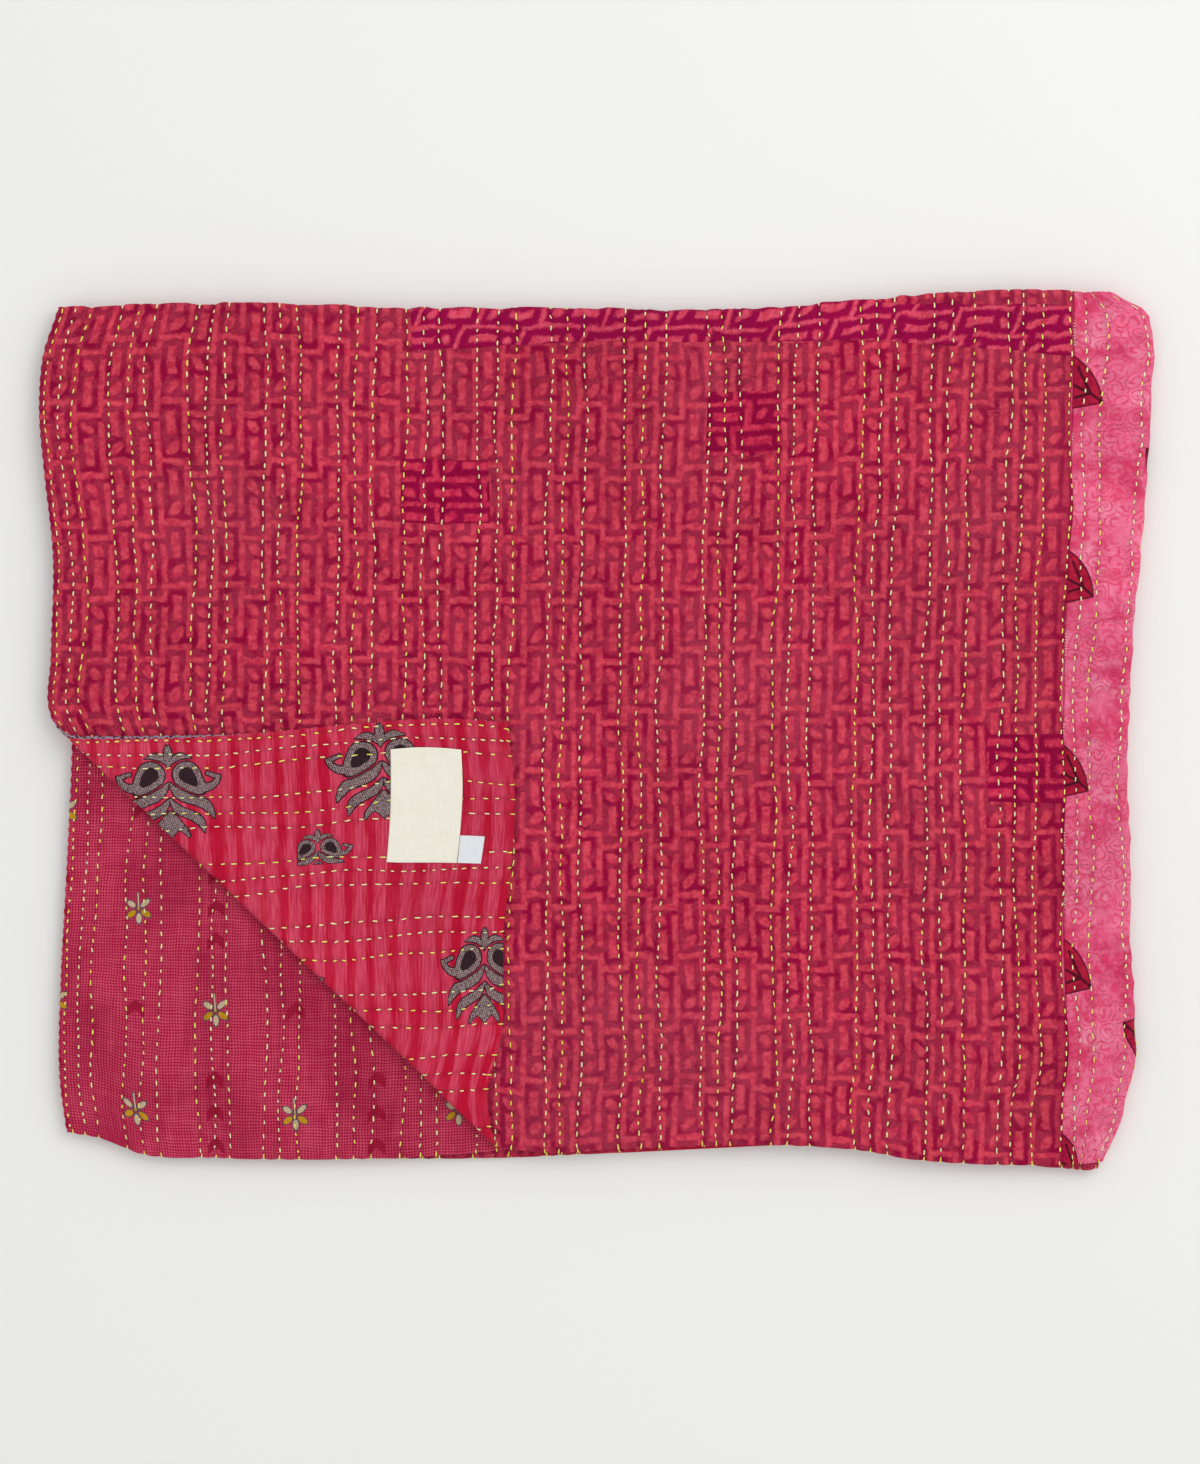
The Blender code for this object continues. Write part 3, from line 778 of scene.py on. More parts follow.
# Each shape: its kind, its middle, half its width and height, and its turn in degrees.
FRET = [
    ("bar", 0.0082, -0.0000, 0.0095, 0.0017, 0),
    ("bar", 0.0082, -0.0142, 0.0024, 0.0080, 2),
    ("leaf", 0.0086, -0.0308, 0.0027, 0.0048, -38),
    ("bar", 0.0164, -0.0163, 0.0016, 0.0172, 0),
    ("bar", 0.0246, -0.0084, 0.0095, 0.0017, 0),
    ("leaf", 0.0243, -0.0166, 0.0026, 0.0042, 42),
    ("bar", 0.0246, -0.0325, 0.0024, 0.0088, -1),
    ("bar", 0.0000, -0.0300, 0.0016, 0.0165, 0),
]
DOT_PITCH = 0.0016
FRET_WEAR = 0.0026
PANEL_RED = (0.690, 0.066, 0.104, 1)
PANEL_DEEP_RED = (0.530, 0.026, 0.068, 1)
PANEL_WINE = (0.290, 0.0012, 0.040, 1)
PANEL_DOTS = (0.540, 0.070, 0.106, 1)
PANEL_SPREAD = 0.00030  # how much fuller the shapes are printed on the panel than charted
PRINT_DEPTH = 0.62
DUSTY_PINK = (0.500, 0.110, 0.170, 1)


def turned_by(x, y, degrees):
    """A place as seen from something that is turned."""
    c, s = math.cos(math.radians(degrees)), math.sin(math.radians(degrees))
    return x * c + y * s, y * c - x * s


def shape_distance(x, y, kind, at_x, at_y, half_width, half_height, turn):
    """Roughly how far a point lies outside a printed bar or leaf. It is negative inside."""
    x, y = wrapped(x - (PRINT_START[0] + at_x), 2 * COLUMN), wrapped(y - (PRINT_START[1] + at_y), REPEAT)
    if turn:
        x, y = turned_by(x, y, turn)
    if kind == "bar":
        return most(absolute(x) - half_width, absolute(y) - half_height)
    return (length_of(x / half_width, y / half_height) - 1.0) * half_width


@shader_group("printed fret", Place=ANYWHERE, Spread=0.0)
def fret_group(at, spread):
    """The fret: where its red shapes lie, how worn they are, and where the ground's dots show through."""
    x, y = parts_of(at)
    elsewhere = place(x + 7.0, y)
    x = x + stray(at, 22.0, 0.0045) + stray(at, 120.0, 0.0030)
    y = y + stray(elsewhere, 22.0, 0.0060) + stray(elsewhere, 120.0, 0.0045)
    rough = cloud(at, 620.0)
    distance = least(*(shape_distance(x, y, *shape) for shape in FRET)) + (rough - 0.5) * FRET_WEAR - spread
    dots = rise(wave(x, DOT_PITCH) * wave(y, DOT_PITCH) + (rough - 0.5) * 2.0, -0.15, 0.55)
    dotted = rise(cloud(at, 75.0, 3.0), 0.42, 0.56) * rise(distance, 0.0001, 0.0010)
    worn = rise(cloud(elsewhere, 210.0, 3.0, 0.6), 0.36, 0.62)
    return {"Shape": rise(distance, 0.0009, -0.0009), "Worn": worn, "Dots": dots * dotted}


def print_fret(at, red, deep, wine, dots, spread, unfaded=None):
    """The fret in its colours. Its dots don't show where the cloth is unfaded."""
    marks = use_group(fret_group, Place=at, Spread=spread)
    dotted = marks["Dots"] if unfaded is None else marks["Dots"] * (1.0 - unfaded)
    return blend(marks["Shape"] * 0.94, blend(dotted * 0.85, wine, dots), blend(marks["Worn"], deep, red))


def print_panel(at):
    """The panel, which is hardly faded along its edge beside the band, and washed out in places."""
    x, y = parts_of(at)
    unfaded = rise(x + stray(at, 60.0, 0.004), SEAM - 0.0080, SEAM - 0.0050)
    colour = print_fret(at, PANEL_RED, PANEL_DEEP_RED, PANEL_WINE, PANEL_DOTS, PANEL_SPREAD, unfaded)
    washed_out = rise(cloud(place(x + 8.0, y), 4.5, 3.0, 0.6), 0.44, 0.64)
    return blend(washed_out * 0.10, blend(unfaded * 0.42, colour, PANEL_WINE), DUSTY_PINK)


sheet.data.materials.append(make_cotton("printed_panel", print_panel, PRINT_DEPTH))

# The band beside the right fold: rose cotton with clouded dye and fine printed curls, and dark-red leaves
# that the panel's edge cuts off.

BAND_LIGHT = (0.830, 0.142, 0.272, 1)
BAND_DEEP = (0.685, 0.042, 0.140, 1)
BAND_PALE = (0.885, 0.290, 0.430, 1)
BAND_LINE = (0.700, 0.044, 0.128, 1)
SPECK = (0.85, 0.78, 0.66, 1)  # fine white stitches that hold the panel's edge in places
SPECK_PITCH = 0.0019
LEAF_RED = (0.465, 0.012, 0.046, 1)
LEAF_DARK = (0.320, 0.005, 0.036, 1)
LEAF_LINE = (0.050, 0.004, 0.013, 1)
LEAF_X = 0.3055  # where the panel's edge cuts the leaves off, and the tops of the five, as they lie
LEAF_TOPS = [0.2407, 0.1162, -0.0083, -0.1327, -0.2572]
TURNED_TIPS = [(0.3515, 0.1790), (0.3366, -0.1885)]  # leaves the other way up, whose tips show at the fold
LEAF_CENTRE = (-0.0198, -0.0324)
LEAF_RADIUS = 0.0364
LEAF_FOOT = 0.0344
LEAF_SLOPE = 0.21
LEAF_TIP = (0.0165, -0.0304)
VEIN_WIDTH = 0.00035
VEINS_MEET = (0.0104, -0.0250)
VEINS = [
    (0.0030, -0.0090, *VEINS_MEET), (0.0005, -0.0200, *VEINS_MEET),
    (0.0008, -0.0278, *VEINS_MEET), (*VEINS_MEET, 0.0162, -0.0302),
]


def open_place(x, y):
    """The sheet's lines, across and along, that cross at a place on the open sheet."""
    u, v = x - LEFT, y - NEAR
    for _ in range(30):
        at_x, at_y = spread_flat(np.array([u]), np.array([v]))
        u, v = u + x - float(at_x[0]), v + y - float(at_y[0])
    return u, v


def seen_place(x, y, under=False):
    """The sheet's lines that cross at a place seen on the top layer, or on the half folded under it."""
    flat_x, flat_y = x + MIDDLE[0], y + MIDDLE[1]
    way = -1 if under else 1
    if under:
        flat_y = 2 * (NEAR + HALF_LENGTH) + math.pi * FAR_RADIUS - flat_y
    for _ in range(40):
        at = fold_up(*(np.array([value]) for value in (flat_x, flat_y, 0.0)))[0]
        flat_x, flat_y = flat_x + x - at[0], flat_y + way * (y - at[1])
    return open_place(flat_x, flat_y)


def line_distance(x, y, x0, y0, x1, y1):
    """How far a point lies from a straight line between two others."""
    run_x, run_y = x1 - x0, y1 - y0
    share = ((x - x0) * run_x + (y - y0) * run_y) / (run_x**2 + run_y**2)
    share = least(most(share, 0.0), 1.0)
    return length_of(x - x0 - share * run_x, y - y0 - share * run_y)


@shader_group("band leaf", Place=ANYWHERE)
def leaf_group(at):
    """A leaf with its veins. Its left part is hidden under the panel."""
    x, y = parts_of(at)
    round_side = length_of(x - LEAF_CENTRE[0], y - LEAF_CENTRE[1]) - LEAF_RADIUS
    outline = most(round_side, 0.0 - y - LEAF_FOOT + x * LEAF_SLOPE)
    lines = least(absolute(outline), *(line_distance(x, y, *vein) - VEIN_WIDTH for vein in VEINS))
    line = rise(lines + stray(at, 500.0, 0.0008), 0.0008, 0.0002) * rise(outline, 0.0008, 0.0004)
    return {"Leaf": rise(outline, 0.0003, -0.0003), "Line": line}


def curls(at, scale, ring):
    """Fine rings and curls about scattered centres, each wound its own way."""
    cells = add_node("TexVoronoi", {"Vector": at, "Scale": scale, "Randomness": 0.85}).socket.node.outputs
    chance = add_node("SeparateColor", {0: Field(cells["Color"])}).socket.node.outputs
    x, y = parts_of(at)
    centre_x, centre_y = parts_of(Field(cells["Position"]))
    wind = step("ARCTAN2", y - centre_y, x - centre_x)
    way = step("SIGN", Field(chance[1]) - 0.45)
    rings = step("SINE", (Field(cells["Distance"]) * ring + wind * way + Field(chance[0]) * 9.0) * 0.5)
    return rise(absolute(rings), 0.70, 0.22)


def dye_band(at):
    """The band's clouded rose and its curls, then its leaves, and the seam with its small white stitches."""
    x, y = parts_of(at)
    bent = place(x + stray(at, 90.0, 0.008), y + stray(place(x + 3.0, y), 90.0, 0.008))
    clouds = rise(cloud(place(x * 0.75, y * 1.2), 30.0, 4.0, 0.62), 0.42, 0.62)
    light_spots = rise(cloud(place(x + 2.0, y), 46.0, 3.0, 0.6), 0.52, 0.68)
    mottle = rise(cloud(place(x + 6.0, y), 170.0, 3.0, 0.6), 0.40, 0.66)
    colour = blend(light_spots * 0.58 + mottle * 0.30, blend(clouds, BAND_LIGHT, BAND_DEEP), BAND_PALE)
    line = curls(bent, 94.0, 25.0) * rise(cloud(at, 48.0, 1.0), 0.30, 0.48)
    colour = blend(line * 0.75, colour, BAND_LINE)
    spots = [place(x - SEAM, y - seen_place(LEAF_X, top)[1]) for top in LEAF_TOPS]
    for u, v in (seen_place(*tip) for tip in TURNED_TIPS):
        spots.append(place(u + LEAF_TIP[0] - x, v + LEAF_TIP[1] - y))
    for spot in spots:
        marks = use_group(leaf_group, Place=spot)
        inside = rise(parts_of(spot)[0], -0.0005, 0.0)
        colour = blend(marks["Leaf"] * inside, colour, blend(mottle, LEAF_RED, LEAF_DARK))
        colour = blend(marks["Line"] * inside * 0.9, colour, LEAF_LINE)
    colour = blend(rise(absolute(x - SEAM), 0.0011, 0.0002) * 0.7, colour, PANEL_WINE)
    specks = rise(wave(y, SPECK_PITCH), 0.1, 0.6) * rise(absolute(x - SEAM - 0.0004), 0.0005, 0.0002)
    sewn = rise(cloud(place(0.0, y), 24.0, 1.0), 0.56, 0.60)
    return blend(specks * sewn * 0.8, colour, SPECK)


sheet.data.materials.append(make_cotton("rose_band", dye_band, 0.24))

# The back of the turned corner: rose cotton with soft red stripes, and grey paired paisleys in the old style,
# each with a crown above and leaves below.

STRIPE_ROSE = (0.550, 0.024, 0.072, 1)
STRIPE_DUSTY = (0.665, 0.078, 0.140, 1)
STRIPE_RED = (0.480, 0.001, 0.026, 1)
STRIPE_PITCH = 0.0128
GREY = (0.362, 0.262, 0.268, 1)
GREY_DEEP = (0.072, 0.034, 0.040, 1)
GREY_LINE = (0.032, 0.010, 0.018, 1)
GREY_HEART = (0.014, 0.008, 0.008, 1)
HATCH_PITCH = (0.0019, 0.0033)
LILAC = (0.330, 0.235, 0.310, 1)
FACING_WIDTH = 0.0017  # a sliver of lilac print shows along the turned hem, and narrows to nothing
FACING_FULL = 0.2000
FACING_END = 0.1350
# Each petal: where its foot is, its length and width, its turn in degrees, its bend and its sway.
CROWN = (0.0000, 0.0035, 0.0150, 0.0048, -3, 0.0, 0.0)
SIDE_CROWN = (0.0004, 0.0050, 0.0155, 0.0046, -71, -0.0036, 0.0)
UPPER_LEAF = (0.0000, -0.0060, 0.0380, 0.0080, -132, -0.0010, 0.0026)
LOWER_LEAF = (0.0000, -0.0170, 0.0325, 0.0070, -138, -0.0012, 0.0022)
HEAD = (0.0114, -0.0012)  # a paisley head's middle, how far round it reaches, and how far its point reaches
HEAD_REACH = (0.0090, 0.0165)
HEART_REACH = (0.0051, 0.0100)
HEAD_POINTS = (0.65, -0.76)
TAIL = (0.0235, -0.0015, 0.0083)  # the round that its tail follows
TAIL_TIP = (0.0312, -0.0026, 0.0250, -0.0004)
BUD_TOP = -0.0258
MOTIF_GAP = 0.0015
SMALL_SIZE = 0.61
SMALL_ENDS = {"Left_end": -0.0198, "Foot": -0.0205}  # a small one is cut off at its left and foot
# Where each motif lies, its size, and how wide it is beside its height.
MOTIFS = [
    (-0.2734, -0.0290, 1.0, 1.0),
    (-0.1373, -0.0138, 1.0, 0.90),
    (-0.0714, -0.1437, 0.97, 0.82),
    (-0.1780, -0.0746, SMALL_SIZE, 0.94),
    (-0.1942, -0.1586, SMALL_SIZE, 0.94),
]


def petal_distance(x, y, foot_x, foot_y, length, width, turn, bend, sway):
    """Roughly how far a point lies outside a petal, which starts at its foot, swells and ends in a point."""
    side, run = turned_by(x - foot_x, y - foot_y, turn)
    run = run / length
    inside = least(most(run, 0.0), 1.0)
    side = side - inside * (1.0 - inside) * (4 * bend)
    if sway:
        side = side - wave(inside, 1) * sway
    swell = step("POWER", inside, 0.75) * step("POWER", 1.0 - inside, 0.70) * (width * 1.32)
    return most(absolute(side) - swell, most(0.0 - run, run - 1.0) * length)


def drop_reach(dx, dy, reach):
    """How far out a point lies, as a share of a drop that is round on one side and pointed on the other."""
    along = dx * HEAD_POINTS[0] + dy * HEAD_POINTS[1]
    beside = (dx * HEAD_POINTS[1] - dy * HEAD_POINTS[0]) / reach[0]
    back, front = least(along, 0.0) / reach[0], most(along, 0.0) / reach[1]
    return step("SQRT", beside * beside + back * back + front * front * 0.36) + front * 0.40


@shader_group("paired paisleys", Place=ANYWHERE, Left_end=-1.0, Foot=-1.0)
def paired_group(at, left_end, foot):
    """A motif, the same on its left and right: paisleys back to back, a crown, two pairs of leaves, a bud."""
    left_x, y = parts_of(at)
    wobble = stray(at, 300.0, 0.0008)
    x, y = absolute(left_x) + wobble, y + wobble
    head = (drop_reach(x - HEAD[0], y - HEAD[1], HEAD_REACH) - 1.0) * HEAD_REACH[0]
    heart = drop_reach(x - HEAD[0], y - HEAD[1], HEART_REACH)
    width = 0.0029 - rise(x, 0.022, 0.033) * 0.0013
    tail = absolute(length_of(x - TAIL[0], y - TAIL[1]) - TAIL[2]) - width
    tail = most(tail, y - TAIL[1], 0.0150 - x)
    paisley = least(head, least(tail, line_distance(x, y, *TAIL_TIP) - 0.0014))
    crown, side_crown, leaf, low_leaf = (
        petal_distance(x, y, *petal) for petal in (CROWN, SIDE_CROWN, UPPER_LEAF, LOWER_LEAF)
    )
    fall = BUD_TOP - y
    teeth = absolute(wrapped(x, 0.0115))
    bud = most(x - rise(fall, -0.006, 0.018) * 0.0122, BUD_TOP - 0.0188 + teeth - y, 0.0 - fall)
    low_leaf = most(low_leaf, MOTIF_GAP - leaf)
    bud = most(bud, MOTIF_GAP - leaf, MOTIF_GAP - low_leaf)
    body = least(paisley, most(least(crown, side_crown, leaf, low_leaf, bud), MOTIF_GAP - paisley))
    body = most(body, foot - y, left_end - left_x)
    inside = rise(body, 0.0002, -0.0002)
    line = rise(absolute(body - 0.0002), 0.0007, 0.0002)
    return {"Body": inside, "Line": line, "Heart": rise(heart, 1.06, 0.94) * inside}


def unfolded(x, y):
    """Where a point that is seen on the turned corner lies on the open sheet, across and along."""
    seen = np.array([x, y]) + MIDDLE
    past = float((seen - CREASE_START) @ TO_CORNER)
    return open_place(*(seen + (CREASE_BEND - 2 * past) * TO_CORNER))


def dye_stripes(at):
    """The striped cloth with its paisleys, and the sliver of lilac facing along its hem."""
    x, y = parts_of(at)
    jitter = cloud(place(y, 5.0), 30.0, 1.0) * 0.020
    run = (y + jitter + stray(at, 14.0, 0.004)) / STRIPE_PITCH
    fine = cloud(place(x * 0.06, y), 900.0)
    lumps = cloud(place(x, y * 0.4), 40.0, 3.0, 0.6)
    broad = stray(place(x * 0.04 + 9.0, y), 110.0, 0.0080, 1.0)
    ragged = (fine - 0.5) * 0.0055 + (lumps - 0.5) * 0.0045 + broad
    middle = absolute(wrapped(run, 1.0)) * STRIPE_PITCH
    stripe = rise(middle + ragged - rise(x, 0.21, 0.28) * 0.0014, 0.0047, 0.0014)
    stripe = stripe * (0.50 + 0.50 * rise(cloud(place(x * 0.3 + 4.0, y), 60.0, 1.0), 0.30, 0.60))
    pale_threads = rise(fine * 0.6 + cloud(place(x * 0.05, y + 3.0), 1500.0, 1.0) * 0.4, 0.36, 0.66)
    colour = blend(stripe * 0.90, blend(pale_threads, STRIPE_ROSE, STRIPE_DUSTY), STRIPE_RED)
    marks = []
    for motif_x, motif_y, size, wide in MOTIFS:
        u, v = unfolded(motif_x, motif_y)
        ends = SMALL_ENDS if size == SMALL_SIZE else {}
        marks.append(use_group(paired_group, Place=place((v - y) / (size * wide), (u - x) / size), **ends))
    body, line, heart = (most(*(mark[part] for mark in marks)) for part in ("Body", "Line", "Heart"))
    hatch = wave(x + y, HATCH_PITCH[0]) * wave(x - y, HATCH_PITCH[1])
    speckle = rise(hatch + stray(at, 700.0, 3.0, 1.0), -0.7, 0.7)
    colour = blend(body, colour, blend(speckle, GREY_DEEP, GREY))
    colour = blend(heart * 0.96, colour, blend(speckle, GREY_HEART, GREY_LINE))
    colour = blend(line, colour, GREY_LINE)
    facing = rise(x - rise(y, FACING_END, FACING_FULL) * FACING_WIDTH, 0.0002, -0.0003)
    dots = rise(cloud(place(x * 3.0, y), 420.0), 0.50, 0.58)
    return blend(facing * rise(y, FACING_END, FACING_END + 0.006), colour, blend(dots, LILAC, GREY_LINE))


sheet.data.materials.append(make_cotton("striped_back", dye_stripes, 0.42, 0.3))

# The back of the layer below: dull-red cotton in a fine check, with small flowers and stacked chevrons in a
# half-drop repeat.

CHECK_RED = (0.405, 0.008, 0.052, 1)
CHECK_LIGHT = (0.710, 0.102, 0.172, 1)
CHECK_DARK = (0.250, 0.001, 0.032, 1)
CHEVRON = (0.300, 0.003, 0.028, 1)
CHECK_PITCH = 0.00185
CHEVRON_STEP = 0.0205
FLOWER_COLUMN = 0.0525
FLOWER_REPEAT = 0.1260
FLOWER_SEEN = (-0.2457, -0.1804)  # where one flower lies, whose column has three chevrons
CREAM = (0.560, 0.415, 0.270, 1)
OCHRE = (0.530, 0.265, 0.010, 1)
BLUE_GREY = (0.100, 0.065, 0.090, 1)
# Each petal: its middle, half its width and length, and its turn in degrees.
CREAM_PETALS = [
    (0.0043, 0.0032, 0.0017, 0.0034, -53),
    (-0.0049, 0.0033, 0.0017, 0.0032, 56),
    (0.0005, -0.0062, 0.0018, 0.0033, 4),
]
OCHRE_PETALS = [(0.0050, -0.0035, 0.0018, 0.0036, 55), (-0.0046, -0.0031, 0.0019, 0.0032, -58)]
STEM = (0.0000, 0.0010, -0.0008, 0.0098)


def oval_distance(x, y, at_x, at_y, half_width, half_length, turn):
    """Roughly how far a point lies outside an oval petal."""
    beside, over = turned_by(x - at_x, y - at_y, turn)
    return (length_of(over / half_length, beside / half_width) - 1.0) * half_width


def dye_check(at):
    """The checked cloth with its chevrons and small flowers, under broad patches of painted shade."""
    x, y = parts_of(at)
    across = wave(x + stray(at, 55.0, 0.0034), CHECK_PITCH)
    along = wave(y + stray(place(x + 5.0, y), 55.0, 0.0034), CHECK_PITCH)
    uneven = cloud(place(x * 0.15, y), 260.0) + cloud(place(x, y * 0.15), 260.0) - 1.0
    colour = blend(rise(across + along + uneven * 2.2, -1.1, 1.8) * 0.78, CHECK_RED, CHECK_LIGHT)
    colour = blend(rise(least(0.0 - across, 0.0 - along) + uneven, 0.0, 0.9) * 0.42, colour, CHECK_DARK)
    # Painted shade: broad soft patches darken the check, standing in for the shade of its waves and of the
    # fold above.
    colour = blend(rise(cloud(place(x, y * 0.7), 18.0, 3.0), 0.40, 0.68) * 0.44, colour, CHECK_DARK)
    flower_u, flower_v = seen_place(*FLOWER_SEEN, under=True)
    column = (x - flower_u) / FLOWER_COLUMN + 0.5
    number = step("FLOOR", column)
    odd = absolute(wrapped(number, 2.0))
    dx = (column - number - 0.5) * FLOWER_COLUMN
    dy = wrapped(flower_v - y + number * (FLOWER_REPEAT / 2) - dx * 0.07, FLOWER_REPEAT)
    half = wrapped(dy - FLOWER_REPEAT / 2, FLOWER_REPEAT)
    chevrons = []
    for level in (-CHEVRON_STEP, 0.0, CHEVRON_STEP):
        up = half - (1.0 - odd) * level
        arms = absolute(absolute(dx) * 0.80 + up - 0.0024) - 0.0034
        chevrons.append(most(arms, absolute(dx) - 0.0058, 0.0 - up - 0.0052))
    ragged = least(*chevrons) + stray(at, 700.0, 0.0016)
    colour = blend(rise(ragged, 0.0006, -0.0006) * 0.82, colour, CHEVRON)
    cream, ochre = (
        least(*(oval_distance(dx, dy, *petal) for petal in petals)) for petals in (CREAM_PETALS, OCHRE_PETALS)
    )
    stem, middle = line_distance(dx, dy, *STEM) - 0.0005, length_of(dx, dy) - 0.0011
    colour = blend(rise(least(cream, ochre, stem, middle), 0.0007, 0.0004) * 0.9, colour, BLUE_GREY)
    colour = blend(rise(least(cream, stem), 0.0001, -0.0002), colour, CREAM)
    return blend(rise(least(ochre, middle + 0.0002), 0.0001, -0.0002), colour, OCHRE)


sheet.data.materials.append(make_cotton("checked_back", dye_check, 0.40, 0.25))
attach(sheet, "root")
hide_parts("quilt")

# The strip along the far fold and three small patches. Pieces of the same printed cotton, cut across and
# less faded, laid over worn places and sewn through with the quilting rows.

PATCH_UNDER = 0.00005
PATCH_OVER = 0.00050
PATCH_TURN = 0.0004  # how far in from its edge a patch reaches its full height
PATCH_RAGGED = 0.0006
PATCH_HEIGHT = 0.045
PATCH_STEP = 0.0022
Patch = namedtuple("Patch", "name replaced left right near_edge far_edge")
PATCHES = [
    Patch(
        "strip_cloth", "top_strip", 0.2267, SEAM - 0.0004,
        [(0.2267, 0.5125), (0.2700, 0.5165), (0.5100, 0.5160), (0.6000, 0.5045), (0.6474, 0.5010)],
        [(0.2267, 0.5436), (0.4900, 0.5436), (0.5200, 0.5400), (0.5850, 0.5325), (0.6474, 0.5320)],
    ),
    Patch(
        "left_patch_cloth", "patch_left", 0.2222, 0.2760,
        [(0.2222, 0.4027), (0.2760, 0.4031)], [(0.2222, 0.4440), (0.2760, 0.4434)],
    ),
    Patch(
        "middle_patch_cloth", "patch_middle", 0.4142, 0.4629,
        [(0.4142, 0.4466), (0.4629, 0.4471)], [(0.4142, 0.4889), (0.4629, 0.4880)],
    ),
    Patch(
        "right_patch_cloth", "patch_right", 0.6000, SEAM - 0.0004,
        [(0.6000, 0.2212), (0.6474, 0.2205)], [(0.6000, 0.2636), (0.6474, 0.2641)],
    ),
]
PATCH_RED = (0.660, 0.042, 0.092, 1)
PATCH_DEEP_RED = (0.500, 0.012, 0.066, 1)
PATCH_WINE = (0.262, 0.0001, 0.038, 1)
PATCH_DOTS = (0.310, 0.003, 0.056, 1)
STRIP_RED = (0.760, 0.088, 0.155, 1)
STRIP_WINE = (0.310, 0.0008, 0.056, 1)
STRIP_LEAN = 0.42


def slab_faces(columns, rows):
    """The faces of a closed thin slab, whose under points come first and its over points after them."""
    number = np.arange(columns * rows).reshape(columns, rows)
    one, two, three, four = number[:-1, :-1], number[1:, :-1], number[1:, 1:], number[:-1, 1:]
    under = np.stack([one, four, three, two], -1).reshape(-1, 4)
    over = np.stack([one, two, three, four], -1).reshape(-1, 4) + columns * rows
    rim = np.array([*number[:-1, 0], *number[-1, :-1], *number[:0:-1, -1], *number[0, :0:-1]])
    top = rim + columns * rows
    return np.concatenate([under, over, np.stack([rim, np.roll(rim, -1), np.roll(top, -1), top], -1)])


def lay_cloth(name, u, v, under, over, rounding):
    """Makes a thin cloth from grids of sheet places and heights off the sheet's middle, and folds it up."""
    edge = np.ones(u.shape)
    edge[[0, -1], :] = edge[:, [0, -1]] = rounding
    over = under + (over - under) * edge
    x, y = spread_flat(u, v)
    points = np.concatenate([fold_up(x, y, z).reshape(-1, 3) for z in (under, over)])
    faces = slab_faces(*u.shape)
    if (over < under).all():
        faces = faces[:, ::-1]
    mesh = bpy.data.meshes.new(name)
    mesh.from_pydata(points, [], faces.tolist())
    write_cloth_maps(mesh, np.stack([u, u]), np.stack([v, v]))
    mesh.shade_smooth()
    mesh.set_sharp_from_angle(angle=math.radians(60))
    return add_object(name, mesh)


def make_patch(patch):
    """Cuts a patch between its edges, and lays it on the sheet's face."""
    ends = np.array([patch.left, patch.left + PATCH_TURN, patch.right - PATCH_TURN, patch.right])
    inner = across_lines[(across_lines > ends[1] + PATCH_TURN) & (across_lines < ends[2] - PATCH_TURN)]
    across = np.array([*ends[:2], *inner, *ends[2:]])
    near, far = curve_through(patch.near_edge, across), curve_through(patch.far_edge, across)
    count = max(8, round(float((far - near).max()) / PATCH_STEP))
    turn = PATCH_TURN / PATCH_HEIGHT
    share = np.array([0, turn, *np.linspace(0, 1, count + 1)[1:-1], 1 - turn, 1])
    u = np.repeat(across[:, None], len(share), axis=1)
    v = near[:, None] + share * (far - near)[:, None]
    v = v + PATCH_RAGGED * drift(u, v, 0.009, 21) * (1 - np.sin(math.pi * share))
    face = half_thickness(u, v)
    return lay_cloth(patch.name, u, v, face + PATCH_UNDER, face + PATCH_OVER, 0.3)


def print_patch(at, lean, **dyes):
    """The fret on a piece that was cut across the cloth, and leans by a share."""
    x, y = parts_of(at)
    bent = y + stray(at, 26.0, 0.020 * lean, 1.0) + stray(at, 70.0, 0.012 * lean, 1.0)
    return print_fret(place(bent, x - y * lean), dots=PATCH_DOTS, **dyes)


patch_dyes = {"red": PATCH_RED, "deep": PATCH_DEEP_RED, "wine": PATCH_WINE, "spread": 0.0}
strip_dyes = {"red": STRIP_RED, "deep": PATCH_RED, "wine": STRIP_WINE, "spread": -0.0003}
patch_print = make_cotton("patch_print", print_patch, PRINT_DEPTH, lean=0.0, **patch_dyes)
strip_print = make_cotton("strip_print", print_patch, PRINT_DEPTH, lean=STRIP_LEAN, **strip_dyes)
for patch in PATCHES:
    piece = make_patch(patch)
    piece.data.materials.append(strip_print if patch.name == "strip_cloth" else patch_print)
    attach(piece, "root")
    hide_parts(patch.replaced)
    near, far = (np.mean([out for _, out in edge]) for edge in (patch.near_edge, patch.far_edge))

# The two labels on the turned corner. A piece of unbleached cotton tape with its edges turned under, left
# plain, and a small white woven label beside it. Both are sewn on the striped back.

LABEL_UNDER = 0.00020
LABEL_THICK = 0.00060
LABEL_BUCKLE = 0.00025
LABEL_TURN = 0.00012  # how much thicker a label is where its edges are turned under
UNBLEACHED, UNBLEACHED_DEEP = (0.91, 0.87, 0.755, 1), (0.85, 0.80, 0.67, 1)
WHITE, WHITE_DEEP = (0.84, 0.86, 0.90, 1), (0.76, 0.79, 0.86, 1)
Label = namedtuple("Label", "name replaced slot corners")  # the corners as they lie, from the near left one
LABELS = [
    Label(
        "cotton_label", "label", "label_cotton",
        [(-0.1340, -0.0848), (-0.0890, -0.0852), (-0.0858, -0.0125), (-0.1312, -0.0125)],
    ),
    Label(
        "woven_label", "care_label", "care_label_satin",
        [(-0.0886, -0.0852), (-0.0736, -0.0857), (-0.0710, -0.0682), (-0.0868, -0.0675)],
    ),
]


